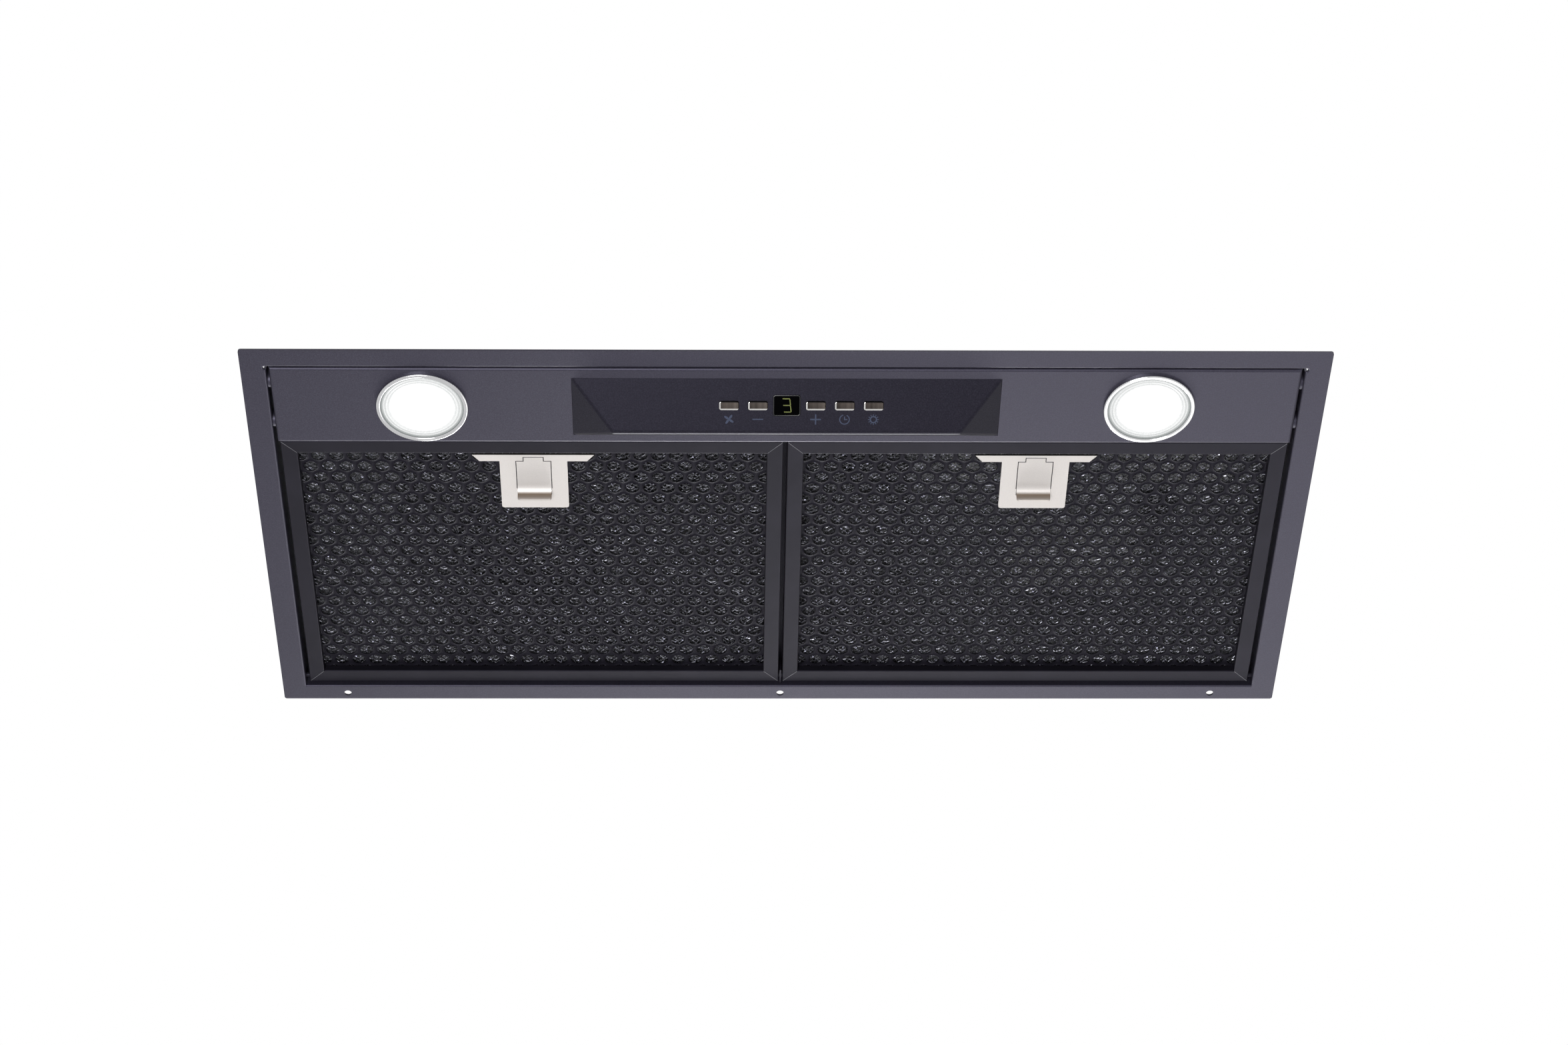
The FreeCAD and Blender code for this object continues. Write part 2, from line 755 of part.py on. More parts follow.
def latch_slider():
    half_pad = slot_width / 2 - slide_gap
    half_tab = tab_width / 2
    guide_half = slot_width / 2 + guide_overlap
    pad = slab(filter_x - half_pad, filter_x + half_pad, slot_front + slide_gap, pad_rear,
               plate_low, plate_high)
    neck = slab(filter_x - half_pad, filter_x + half_pad, slot_front + slide_gap,
                slot_front + guide_length, plate_low, guide_high)
    tab = slab(filter_x - half_tab, filter_x + half_tab, slot_front - tab_length, slot_front + slide_gap,
               plate_low, guide_high)
    guide = slab(filter_x - guide_half, filter_x + guide_half, slot_front, slot_front + guide_length,
                 guide_low, guide_high)
    tongue = slab(filter_x - half_tab, filter_x + half_tab, tongue_front, slot_front, guide_low, guide_high)
    return pad.multiFuse([neck, tab, guide, tongue, finger_lip(half_pad)])


def finger_lip(half_pad):
    x0 = filter_x - half_pad
    centre = Vector(x0, pad_rear, plate_low - lip_r)

    def rim(radius, angle):
        return centre + Vector(0, radius * math.cos(angle), radius * math.sin(angle))

    quarter = math.pi / 2
    inner = Part.Arc(rim(lip_r, quarter), rim(lip_r, quarter / 2), rim(lip_r, 0)).toShape()
    outer = Part.Arc(rim(lip_outer_r, 0), rim(lip_outer_r, quarter / 2), rim(lip_outer_r, quarter)).toShape()
    foot = Part.makeLine(rim(lip_r, 0), rim(lip_outer_r, 0))
    root = Part.makeLine(rim(lip_outer_r, quarter), rim(lip_r, quarter))
    lip = Part.Face(Part.Wire([inner, foot, outer, root])).extrude(Vector(2 * half_pad, 0, 0))
    corners = [edge for edge in edges_along(lip, axis_y) if edge.BoundBox.ZMax < centre.z + free_gap]
    return lip.makeFillet(lip_corner_r, corners)


# Flat spring strip, folded to and fro between the slider and the plate's rear fold
def latch_spring():
    front = slot_front + guide_length + running_gap
    rear = latch_rear - plate_gauge - running_gap
    step = (rear - front - spring_strip) / spring_turns
    low = guide_low + running_gap
    strips = []
    for turn in range(spring_turns + 1):
        y = front + turn * step
        strips.append(slab(filter_x - spring_width / 2, filter_x + spring_width / 2, y, y + spring_strip,
                           low, low + spring_gauge))
    for turn in range(spring_turns):
        side = 1 - 2 * (turn % 2)
        ends = sorted((side * spring_width / 2, side * (spring_width / 2 - spring_strip)))
        y = front + turn * step
        strips.append(slab(filter_x + ends[0], filter_x + ends[1], y, y + step + spring_strip,
                           low, low + spring_gauge))
    return strips[0].multiFuse(strips[1:])


def centre_rail():
    low = filter_high + rail_strap_gap
    half = rail_strap_width / 2
    strap = slab(-half, half, panel_rear, open_rear, low, low + rail_strap_gauge)
    flanges = [slab(-half, rail_strap_gauge - half, panel_rear, open_rear, low, plenum_bottom),
               slab(half - rail_strap_gauge, half, panel_rear, open_rear, low, plenum_bottom)]
    web = slab(-rail_web / 2, rail_web / 2, open_rear - rail_web_length, open_rear, filter_low, low)
    eye = cross_rod(pivot_r + running_gap, -overrun, overrun, pivot_y, pivot_z)
    return strap.multiFuse(flanges + [web]).cut(eye)


# Blower: a snail housing hung from the deck, open below the collar
def ray(radius, degrees):
    angle = math.radians(degrees)
    return Vector(wheel_x + radius * math.cos(angle), wheel_y + radius * math.sin(angle), 0)


def scroll_outline(offset):
    stations = [(-tongue_angle, tongue_gap), (-90, front_gap), (-180, left_gap), (-270, rear_gap)]
    front = throat_front - offset
    start_r = wheel_r + tongue_gap + offset
    last = Vector(wheel_x + math.sqrt(start_r ** 2 - (front - wheel_y) ** 2), front, 0)
    first = last
    edges = []
    for (angle0, gap0), (angle1, gap1) in zip(stations, stations[1:]):
        middle = ray(wheel_r + (gap0 + gap1) / 2 + offset, (angle0 + angle1) / 2)
        point = ray(wheel_r + gap1 + offset, angle1)
        edges.append(Part.Arc(last, middle, point).toShape())
        last = point
    reach = chamber_r + offset
    rear_end = Vector(0, collar_y + reach, 0)
    front_end = Vector(-math.sqrt(reach ** 2 - (front - collar_y) ** 2), front, 0)
    edges.append(Part.makeLine(last, rear_end))
    edges.append(Part.Arc(rear_end, Vector(0, collar_y - reach, 0), front_end).toShape())
    edges.append(Part.makeLine(front_end, first))
    return Part.Face(Part.Wire(edges))


def scroll_slice(offset, low, high):
    solid = scroll_outline(offset).extrude(Vector(0, 0, high - low))
    solid.translate(Vector(0, 0, low))
    return solid


def scroll_housing():
    low = scroll_floor + scroll_wall
    walls = scroll_slice(scroll_wall, low, deck_low)
    flange = scroll_slice(scroll_flange, deck_low - scroll_wall, deck_low)
    return walls.fuse(flange).cut(scroll_slice(0, low - overrun, deck_low + overrun))


def floor_plate():
    plate = scroll_slice(scroll_flange, scroll_floor, scroll_floor + scroll_wall)
    mouth = upright(inlet_r + inlet_wall, wheel_x, wheel_y, scroll_floor,
                    scroll_floor + scroll_wall + inlet_height)
    hole = upright(inlet_r, wheel_x, wheel_y, scroll_floor - overrun, wheel_high)
    return plate.fuse(mouth).cut(hole)


def wheel_disc(outer_r, inner_r, z0, z1):
    outer = upright(outer_r, wheel_x, wheel_y, z0, z1)
    return outer.cut(upright(inner_r, wheel_x, wheel_y, z0 - overrun, z1 + overrun))


def impeller_blade():
    inner = wheel_r - blade_depth
    outer = wheel_r - wheel_ring_lap
    middle = (inner + outer) / 2

    def at(radius, lead, thick):
        return ray(radius, lead + math.degrees(thick / radius))

    front = Part.Arc(at(inner, 0, 0), at(middle, blade_bow, 0), at(outer, blade_lead, 0)).toShape()
    back = Part.Arc(at(outer, blade_lead, blade_gauge), at(middle, blade_bow, blade_gauge),
                    at(inner, 0, blade_gauge)).toShape()
    tip = Part.makeLine(at(outer, blade_lead, 0), at(outer, blade_lead, blade_gauge))
    root = Part.makeLine(at(inner, 0, blade_gauge), at(inner, 0, 0))
    blade = Part.Face(Part.Wire([front, tip, back, root])).extrude(Vector(0, 0, wheel_high - wheel_low))
    blade.translate(Vector(0, 0, wheel_low))
    return blade


def impeller():
    ring_r = wheel_r - blade_depth + wheel_ring_lap
    web = wheel_disc(wheel_r, shaft_r, web_high - wheel_web_gauge, web_high)
    parts = [wheel_disc(hub_r, shaft_r, web_high - hub_depth, web_high),
             wheel_disc(wheel_r, ring_r, wheel_low, wheel_low + wheel_ring_gauge),
             wheel_disc(wheel_r, ring_r, wheel_high - wheel_ring_gauge, wheel_high)]
    blade = impeller_blade()
    centre = Vector(wheel_x, wheel_y, 0)
    for step in range(blade_count):
        parts.append(blade.rotated(centre, axis_z, step * 360 / blade_count))
    return web.multiFuse(parts)


def motor_shaft():
    return upright(shaft_r, wheel_x, wheel_y, web_high - hub_depth - shaft_nose, motor_high - motor_bell)


def motor():
    can = upright(motor_r, wheel_x, wheel_y, motor_low + motor_bell, motor_high)
    bell = upright(motor_bell_r, wheel_x, wheel_y, motor_low, motor_high)
    bore_r = shaft_r + running_gap
    bore = upright(bore_r, wheel_x, wheel_y, motor_low - overrun, motor_high - motor_bell + free_gap)
    middle = (motor_low + motor_high) / 2
    groove = wheel_disc(motor_r + overrun, motor_r - motor_groove, middle, middle + motor_groove)
    return can.fuse(bell).cut([bore, groove])


def motor_bracket():
    return upright(bracket_r, wheel_x, wheel_y, motor_high, deck_low)


def capacitor():
    return upright(capacitor_r, capacitor_x, capacitor_y, deck_low - capacitor_length, deck_low)


# Outlet
def duct_collar():
    top = deck_z + collar_height
    collar = turned([(collar_bore_r, deck_z), (collar_r + collar_flange, deck_z),
                     (collar_r + collar_flange, deck_z + collar_flange_gauge),
                     (collar_r, deck_z + collar_flange_gauge), (collar_r, top), (collar_bore_r, top),
                     (collar_bore_r, ledge_z + ledge_height),
                     (collar_bore_r - ledge_width, ledge_z + ledge_height),
                     (collar_bore_r - ledge_width, ledge_z), (collar_bore_r, ledge_z)],
                    Vector(0, collar_y, 0))
    bosses = []
    for side in (-1, 1):
        ends = sorted((side * (collar_bore_r - pin_boss), side * (collar_bore_r + collar_wall / 2)))
        bosses.append(cross_rod(knuckle_r, ends[0], ends[1], collar_y, flap_pin_z))
    eye = cross_rod(flap_pin_r + running_gap, -collar_bore_r - collar_wall / 2,
                    collar_bore_r + collar_wall / 2, collar_y, flap_pin_z)
    return collar.multiFuse(bosses).cut(eye)


def damper_pin():
    reach = collar_bore_r + collar_wall / 2 - running_gap
    return cross_rod(flap_pin_r, -reach, reach, collar_y, flap_pin_z)


def damper_flap(side):
    leaf_r = collar_bore_r - flap_gap
    edge = knuckle_r + flap_gap
    leaf = upright(leaf_r, 0, collar_y, flap_z, flap_z + flap_gauge)
    far = collar_y + side * (leaf_r + overrun)
    near = collar_y + side * edge
    span = sorted((near, far))
    leaf = leaf.common(slab(-leaf_r - overrun, leaf_r + overrun, span[0], span[1],
                            flap_z, flap_z + flap_gauge))
    parts = []
    for start in (-knuckle_pitch, 0):
        x0 = start + (knuckle_gap if side > 0 else knuckle_pitch / 2 + knuckle_gap)
        x1 = x0 + knuckle_length
        parts.append(cross_rod(knuckle_r, x0, x1, collar_y, flap_pin_z))
        reach = sorted((collar_y + side * (knuckle_r - knuckle_lap), collar_y + side * (edge + knuckle_lap)))
        parts.append(slab(x0, x1, reach[0], reach[1], flap_z, flap_z + flap_gauge))
    bore = cross_rod(flap_pin_r + running_gap, -leaf_r, leaf_r, collar_y, flap_pin_z)
    return leaf.multiFuse(parts).cut(bore)


# Supply side
def terminal_box():
    low = deck_low - terminal_height
    x0 = terminal_x - terminal_width / 2
    x1 = terminal_x + terminal_width / 2
    y0 = terminal_y - terminal_depth / 2
    y1 = terminal_y + terminal_depth / 2
    block = slab(x0, x1, y0, y1, low, deck_low)
    return block.cut(slab(x0 + terminal_wall, x1 - terminal_wall, y0 + terminal_wall, y1 - terminal_wall,
                          low - overrun, deck_low - terminal_wall))


def terminal_lid():
    high = deck_low - terminal_height
    return slab(terminal_x - terminal_width / 2, terminal_x + terminal_width / 2,
                terminal_y - terminal_depth / 2, terminal_y + terminal_depth / 2,
                high - terminal_wall, high)


def led_driver():
    return rounded_slab(driver_x - driver_width / 2, driver_x + driver_width / 2,
                        driver_y - driver_depth / 2, driver_y + driver_depth / 2,
                        deck_low - driver_height, deck_low, driver_edge_r)


def hex_prism(radius, z0, z1):
    corners = [Vector(gland_x + radius * math.cos(math.radians(60 * k)),
                      gland_y + radius * math.sin(math.radians(60 * k)), z0) for k in range(6)]
    return loop_face(corners).extrude(Vector(0, 0, z1 - z0))


def cable_gland():
    cap_z = deck_z + gland_hex_height
    body = hex_prism(gland_hex_r, deck_z, cap_z)
    cap = upright(gland_cap_r, gland_x, gland_y, cap_z, cap_z + gland_cap_height)
    crown = [edge for edge in cap.Edges if edge.Closed and edge.BoundBox.ZMin > cap_z + gland_bore_r]
    cap = cap.makeFillet(gland_bore_r, crown)
    thread = upright(gland_thread_r, gland_x, gland_y, deck_low - gland_nut_height, deck_z)
    nut = hex_prism(gland_hex_r, deck_low - gland_nut_height, deck_low)
    bore = upright(gland_bore_r, gland_x, gland_y, deck_low - gland_nut_height - overrun,
                   cap_z + gland_cap_height + overrun)
    return body.multiFuse([cap, thread, nut]).cut(bore)


def build():
    os.makedirs("parts", exist_ok=True)
    save("canopy_rim", canopy_rim())
    save("plenum_wrapper", plenum_wrapper())
    save_pair("plenum_end", plenum_end())
    save("lamp_panel", lamp_panel())
    save("control_housing", control_housing())
    for name, x in button_places().items():
        save("button_" + name, push_button(x))
    save("display_window", display_window())
    save("control_board", control_board())
    save("tact_switches", tact_switches())
    save("display_module", display_module())
    save_pair("lamp_bezel", lamp_bezel())
    save_pair("lamp_lens", lamp_lens())
    save_pair("lamp_can", lamp_can())
    save_pair("lamp_nut", lamp_nut())
    save_pair("filter_frame", filter_frame())
    save_pair("face_sheet", face_sheet())
    save_pair("mesh_pad", pack_layer(sheet_high, back_low))
    save_pair("back_sheet", pack_layer(back_low, back_low + sheet_gauge))
    save_pair("pivot_pins", pivot_pins())
    save_pair("latch_plate", latch_plate())
    save_pair("latch_slider", latch_slider())
    save_pair("latch_spring", latch_spring())
    save("centre_rail", centre_rail())
    save("scroll_housing", scroll_housing())
    save("floor_plate", floor_plate())
    save("impeller", impeller())
    save("motor_shaft", motor_shaft())
    save("motor", motor())
    save("motor_bracket", motor_bracket())
    save("capacitor", capacitor())
    save("duct_collar", duct_collar())
    save("damper_pin", damper_pin())
    save("damper_flap_front", damper_flap(-1))
    save("damper_flap_rear", damper_flap(1))
    save("terminal_box", terminal_box())
    save("terminal_lid", terminal_lid())
    save("led_driver", led_driver())
    save("cable_gland", cable_gland())


build()
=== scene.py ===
"""Looks and stage of an undermount range hood, laid out as an add-on."""

import json
import math

import bmesh
import bpy
from bpy.props import FloatProperty, FloatVectorProperty, IntProperty, PointerProperty
from mathutils import Matrix, Vector, noise


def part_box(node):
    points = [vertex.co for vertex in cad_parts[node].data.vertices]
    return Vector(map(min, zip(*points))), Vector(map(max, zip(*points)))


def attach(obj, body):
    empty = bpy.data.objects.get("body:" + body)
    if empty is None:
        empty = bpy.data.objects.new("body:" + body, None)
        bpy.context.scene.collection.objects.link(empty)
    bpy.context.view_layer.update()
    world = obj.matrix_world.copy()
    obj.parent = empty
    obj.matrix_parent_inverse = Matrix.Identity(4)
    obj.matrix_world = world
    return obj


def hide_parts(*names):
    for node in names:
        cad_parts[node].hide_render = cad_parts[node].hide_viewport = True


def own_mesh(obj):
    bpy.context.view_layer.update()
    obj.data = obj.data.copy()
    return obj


bl_info = {
    "name": "Undermount range hood",
    "version": (1, 0, 0),
    "blender": (4, 5, 0),
    "location": "View3D > Sidebar > Hood",
    "description": "Dresses the packed frame of a range hood and sets its stage",
    "category": "Object",
}

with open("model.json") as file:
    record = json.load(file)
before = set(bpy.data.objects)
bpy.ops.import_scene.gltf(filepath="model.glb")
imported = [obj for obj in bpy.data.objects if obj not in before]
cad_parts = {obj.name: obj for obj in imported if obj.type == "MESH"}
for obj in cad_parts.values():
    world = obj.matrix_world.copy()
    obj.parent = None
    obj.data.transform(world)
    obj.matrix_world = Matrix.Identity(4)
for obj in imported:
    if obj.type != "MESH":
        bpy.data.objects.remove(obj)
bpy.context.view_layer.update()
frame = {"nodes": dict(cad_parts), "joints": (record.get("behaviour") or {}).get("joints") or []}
nodes = frame["nodes"]
sides = ("left", "right")
button_names = ("fan", "minus", "plus", "timer", "light")
rightward = Vector((1.0, 0.0, 0.0))
rearward = Vector((0.0, 1.0, 0.0))
upward = Vector((0.0, 0.0, 1.0))
weld_distance = 1e-6


# Sizes and colours that a user would change
def length(name, description, default):
    return FloatProperty(name=name, description=description, default=default, precision=5,
                         unit="LENGTH", subtype="DISTANCE")


def colour(name, description, default):
    return FloatVectorProperty(name=name, description=description, default=default, size=3,
                               min=0.0, max=1.0, subtype="COLOR")


def share(name, description, default):
    return FloatProperty(name=name, description=description, default=default, min=0.0, max=1.0,
                         subtype="FACTOR")


def count(name, description, default):
    return IntProperty(name=name, description=description, default=default, min=1)


def direction(name, description, default):
    return FloatVectorProperty(name=name, description=description, default=default, size=3,
                               subtype="DIRECTION")


def power(name, description, default):
    return FloatProperty(name=name, description=description, default=default, min=0.0, unit="POWER")


def group(kind, name):
    return PointerProperty(type=kind, name=name, description=kind.__doc__)


class HoodPaintSettings(bpy.types.PropertyGroup):
    """Colours of the painted steel"""
    body: colour("Paint", "Dark grey of the rim, lamp panel and control housing", (0.0155, 0.0140, 0.0225))
    fleck: colour("Fleck", "Paler grains in the paint", (0.050, 0.047, 0.068))
    sheen: colour("Sheen", "Tint of the paint's gloss", (0.78, 0.75, 1.0))
    black: colour("Filter black", "Satin black of the filter frames and sheets", (0.0085, 0.0078, 0.0112))


class HoodFilterSettings(bpy.types.PropertyGroup):
    """Sizes of the perforated sheets and the mesh behind them"""
    hole: length("Hole", "Diameter of a hole in the face sheet", 0.0080)
    hole_sides: count("Hole sides", "Straight sides of one hole", 12)
    pitch: length("Pitch", "Distance between holes in a row", 0.0101)
    row: length("Row", "Distance between rows of holes", 0.0086)
    flare: length("Flare", "How far the edge of a hole is drawn out", 0.00025)
    flare_width: length("Flare width", "Width of the drawn edge", 0.0004)
    rail: length("Rail", "Width of the frame's rails", 0.0092)
    # The seam is the width of the painted highlight line along each mitre
    seam: length("Seam", "Width of the bare edge at the mitres", 0.0003)
    cell: length("Mesh cell", "Width of one opening of the crinkled mesh", 0.0022)
    wire: length("Wire", "Thickness of the mesh strands", 0.00055)
    crinkle: length("Crinkle", "How far the mesh strands wander", 0.0013)
    crinkle_seed: count("Crinkle seed", "Number that the strands' wandering starts from", 1)
    grid_cell: length("Grid cell", "Pitch of the expanded back grid", 0.0034)
    grid_wire: length("Grid wire", "Width of the back grid's strands", 0.0013)
    grid_squash: share("Grid squash", "Depth of a grid opening as a share of its width", 0.62)
    strand: colour("Strand", "Colour of the mesh", (0.60, 0.60, 0.68))


class HoodLatchSettings(bpy.types.PropertyGroup):
    """Slot and spring of the filter latches"""
    slot_setback: length("Slot setback", "Distance from the plate's front edge to its slot", 0.0055)
    slot_width: length("Slot width", "Width of the slot", 0.0196)
    slot_length: length("Slot length", "Length of the slot beside the finger pad", 0.0215)
    tab_width: length("Tab width", "Width of the notch in front of the slot", 0.0112)
    tab_length: length("Tab length", "Length of the notch in front of the slot", 0.0031)
    # Width and height of the painted shadow strips round the slot; the width also sets the painted shadow
    # along the plate's front edge
    slot_line: length("Slot edge", "Width of the dark edge round the slot", 0.00035)
    slot_relief: length("Slot edge height", "How far the dark edge stands out of the plate", 0.00004)
    spring_bend: length("Spring bend", "Radius of the bends of the folded spring", 0.0003)


class HoodLampSettings(bpy.types.PropertyGroup):
    """Lens of the two lamps"""
    glow: FloatProperty(name="Glow", description="Strength of the lit lens", default=1.1, min=0.0)
    ridges: count("Ridges", "Moulded rings near the lens's edge", 4)
    ridge_depth: length("Ridge depth", "Height of one moulded ring", 0.0004)
    clear: share("Clear share", "Share of the radius without rings", 0.74)
    ridged: share("Ridged share", "Share of the radius at which the rings end", 0.97)
    seat: length("Seat", "Height of the lens's rim above the bezel's face", 0.001)


class HoodControlSettings(bpy.types.PropertyGroup):
    """Marks on the control housing and its display"""
    mark: colour("Mark", "Printed symbols below the buttons", (0.068, 0.083, 0.138))
    digit: colour("Digit", "Lit segments of the display", (0.36, 0.42, 0.02))
    mark_drop: length("Mark drop", "Distance from a button's centre to its symbol", 0.0080)
    mark_size: length("Mark size", "Width of one symbol", 0.0059)
    print_gauge: length("Print", "Thickness of a printed symbol", 0.00006)
    proud: length("Button height", "How far a button stands out of the housing", 0.0010)
    digit_width: length("Digit width", "Width of the lit digit", 0.0046)
    digit_height: length("Digit height", "Height of the lit digit", 0.0082)
    digit_slant: share("Digit slant", "Sideways lean of the digit for each length of its height", 0.10)
    segment: length("Segment", "Width of one lit segment", 0.00055)
    window_width: length("Window width", "Width of the display", 0.0150)
    window_height: length("Window height", "Height of the display", 0.0120)
    window_corner: length("Window corner", "Corner radius of the display", 0.0014)
    button_width: length("Button width", "Width of a button", 0.0109)
    surround: length("Surround", "Width of the rim round the display", 0.0005)
    surround_rise: length("Surround rise", "Height of the rim round the display", 0.0006)
    # A button's left and lower edges carry a painted highlight of this width, and its upper edge a painted
    # shade of the next width
    bright_edge: length("Bright edge", "Width of the polished left and lower edges of a button", 0.0009)
    dark_edge: length("Dark edge", "Width of the shaded upper edge of a button", 0.0006)


class HoodCasingSettings(bpy.types.PropertyGroup):
    """Rivets of the upper casing and the duct collar"""
    rivet: length("Rivet", "Radius of a rivet's head", 0.0026)
    edge: length("Rivet edge", "Distance of the deck's rivets from the casing's ends", 0.0060)
    deck_front: length("Deck front", "Place of the deck's front rivets", -0.03)
    deck_rear: length("Deck rear", "Place of the deck's rear rivets", 0.12)
    deck_rivets: count("Deck rivets", "Rivets at each end of the deck", 4)
    skirt_reach: length("Skirt reach", "Distance of the outermost skirt rivets from the middle", 0.26)
    skirt_level: length("Skirt level", "Height of the rivets in the front skirt", 0.0050)
    skirt_rivets: count("Skirt rivets", "Rivets along the front skirt", 6)
    flange_width: length("Flange width", "Width of the collar's flange", 0.0050)
    flange_gauge: length("Flange thickness", "Thickness of the collar's flange", 0.0030)
    flange_rivets: count("Flange rivets", "Rivets round the collar's flange", 6)


class HoodStageSettings(bpy.types.PropertyGroup):
    """Camera, floor and light"""
    eye: FloatVectorProperty(name="Eye", description="Place of the camera", size=3, subtype="XYZ",
                             default=(-0.03997, -1.39018, -1.35030), unit="LENGTH")
    ahead: direction("Ahead", "Direction in which the camera looks", (0.0207592, 0.7150509, 0.6987642))
    right: direction("Right", "Direction of the picture's right-hand side",
                     (0.9997837, -0.0157552, -0.0135796))
    sensor: FloatProperty(name="Sensor", description="Width of the camera's sensor", default=36.0,
                          subtype="DISTANCE_CAMERA")
    lens: FloatProperty(name="Lens", description="Focal length of the camera", default=77.05,
                        subtype="DISTANCE_CAMERA")
    floor_drop: length("Floor drop", "Depth of the floor below the rim", 2.6)
    floor_size: length("Floor size", "Half the width of the floor", 24.0)
    floor_tone: colour("Floor", "Colour of the plain floor", (0.78, 0.78, 0.78))
    floor_white: share("Floor white", "Brightness of the floor as a backdrop", 1.0)
    ambient: share("Ambient", "Strength of the light from all round", 0.12)
    rear_power: power("Rear light", "Power of the light behind and below the hood", 9.0)
    ridge_power: power("Ridge light", "Power of the light that grazes the painted faces", 32.0)
    front_power: power("Front light", "Power of the main light", 42.0)
    top_power: power("Top light", "Power of the light above the casing", 20.0)


class HoodSettings(bpy.types.PropertyGroup):
    """All settings of the hood"""
    paint: group(HoodPaintSettings, "Paint")
    filters: group(HoodFilterSettings, "Filters")
    latch: group(HoodLatchSettings, "Latches")
    lamp: group(HoodLampSettings, "Lamps")
    control: group(HoodControlSettings, "Controls")
    casing: group(HoodCasingSettings, "Casing")
    stage: group(HoodStageSettings, "Stage")


def settings():
    return bpy.context.scene.hood


# Places that the frame gives
def both(*names):
    return [name + "_" + side for name in names for side in sides]


def joint_named(name):
    return next(joint for joint in frame["joints"] if joint["name"] == name)


def face_matrix(node):
    """Place of a control on the sloping face: x across, y towards the front edge, z out of the face"""
    inward = Vector(joint_named("button_fan_press")["axis"])
    frontward = rightward.cross(inward)
    points = [vert.co for vert in nodes[node].data.vertices]
    low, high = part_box(node)
    outer = min(point.dot(inward) for point in points)
    spread = [point.dot(frontward) for point in points]
    centre = rightward * (low.x + high.x) / 2 + inward * outer + frontward * (min(spread) + max(spread)) / 2
    turn = Matrix((rightward, frontward, -inward)).transposed().to_4x4()
    return Matrix.Translation(centre) @ turn


# Shader maths
class Value:
    """A shader socket that works in Python expressions"""

    def __init__(self, shop, socket):
        self.shop = shop
        self.socket = socket

    def maths(self, operation, first, second):
        return self.shop.node("ShaderNodeMath", {"operation": operation}, {0: first, 1: second})

    def __add__(self, other):
        return self.maths("ADD", self, other)

    def __sub__(self, other):
        return self.maths("SUBTRACT", self, other)

    def __rsub__(self, other):
        return self.maths("SUBTRACT", other, self)

    def __mul__(self, other):
        return self.maths("MULTIPLY", self, other)

    def __lt__(self, other):
        return self.maths("LESS_THAN", self, other)

    def __gt__(self, other):
        return self.maths("GREATER_THAN", self, other)

    __radd__ = __add__
    __rmul__ = __mul__


class NodeShop:
    """Makes the nodes of one material or of the world"""

    def __init__(self, owner):
        owner.use_nodes = True
        self.tree = owner.node_tree
        self.tree.nodes.clear()

    def node(self, kind, traits, sockets, output=0):
        """Adds a node, sets its traits, then fills its sockets with values or links"""
        made = self.tree.nodes.new(kind)
        for key, trait in traits.items():
            if key == "stops":
                while len(made.color_ramp.elements) < len(trait):
                    made.color_ramp.elements.new(1.0)
                for element, (position, tone) in zip(made.color_ramp.elements, trait):
                    element.position = position
                    element.color = tone
            else:
                setattr(made, key, trait)
        for key, value in sockets.items():
            self.link(made.inputs[key], value)
        return Value(self, made.outputs[output]) if made.outputs else None

    def link(self, socket, value):
        if isinstance(value, Value):
            self.tree.links.new(value.socket, socket)
        elif hasattr(value, "__len__") and len(value) == 3 and socket.type == "RGBA":
            socket.default_value = (*value, 1.0)
        else:
            socket.default_value = value

    def mix(self, factor, first, second):
        return self.node("ShaderNodeMix", {"data_type": "RGBA"}, {0: factor, 6: first, 7: second}, 2)

    def vectors(self, operation, *values, output=0):
        return self.node("ShaderNodeVectorMath", {"operation": operation}, dict(enumerate(values)), output)

    def backdrop_rays(self):
        """1 for rays on which the pale backdrop shows, 0 for rays that carry soft light"""
        rays = [self.node("ShaderNodeLightPath", {}, {}, "Is %s Ray" % kind)
                for kind in ("Camera", "Glossy", "Transmission")]
        return rays[0] + rays[1] + rays[2] > 0.5


class Finish(NodeShop):
    """A material under construction"""

    def __init__(self, name, **sockets):
        self.material = bpy.data.materials.new(name)
        super().__init__(self.material)
        self.shader = self.node("ShaderNodeBsdfPrincipled", {}, {})
        self.place = self.node("ShaderNodeTexCoord", {}, {}, "Object")
        for key, value in sockets.items():
            self.feed(key.replace("_", " "), value)

    def done(self, surface=None):
        self.node("ShaderNodeOutputMaterial", {}, {"Surface": surface or self.shader})
        return self.material

    def feed(self, socket, value):
        self.link(self.shader.socket.node.inputs[socket], value)

    def coat(self, factor, dark, pale, roughness):
        """Feeds a colour between dark and pale, and the roughness"""
        self.feed("Base Color", self.mix(factor, dark, pale))
        self.feed("Roughness", roughness)

    def bump(self, height, strength, distance=0.0002):
        relief = {"Strength": strength, "Distance": distance, "Height": height}
        self.feed("Normal", self.node("ShaderNodeBump", {}, relief))

    def axis(self, letter):
        return self.node("ShaderNodeSeparateXYZ", {}, {0: self.place}, letter)

    def along(self, way):
        """Distance from the origin along a direction"""
        return self.vectors("DOT_PRODUCT", self.place, way, output="Value")

    def grain(self, scale, detail=2.0, roughness=0.5, place=None, output=0):
        speckle = {"Vector": place or self.place, "Scale": scale, "Detail": detail, "Roughness": roughness}
        return self.node("ShaderNodeTexNoise", {}, speckle, output)

    def ramp(self, value, *stops):
        tones = [(position, (level, level, level, 1.0)) for position, level in stops]
        return self.node("ShaderNodeValToRGB", {"stops": tones}, {"Fac": value})


def shared(maker):
    """Makes a finish once and hands out the same material after that"""
    def made(*details):
        return bpy.data.materials.get("_".join((maker.__name__, *details))) or maker(*details)
    return made


def tinted(tone, factor):
    """A colour with each of its levels multiplied"""
    return tuple(factor * level for level in tone)


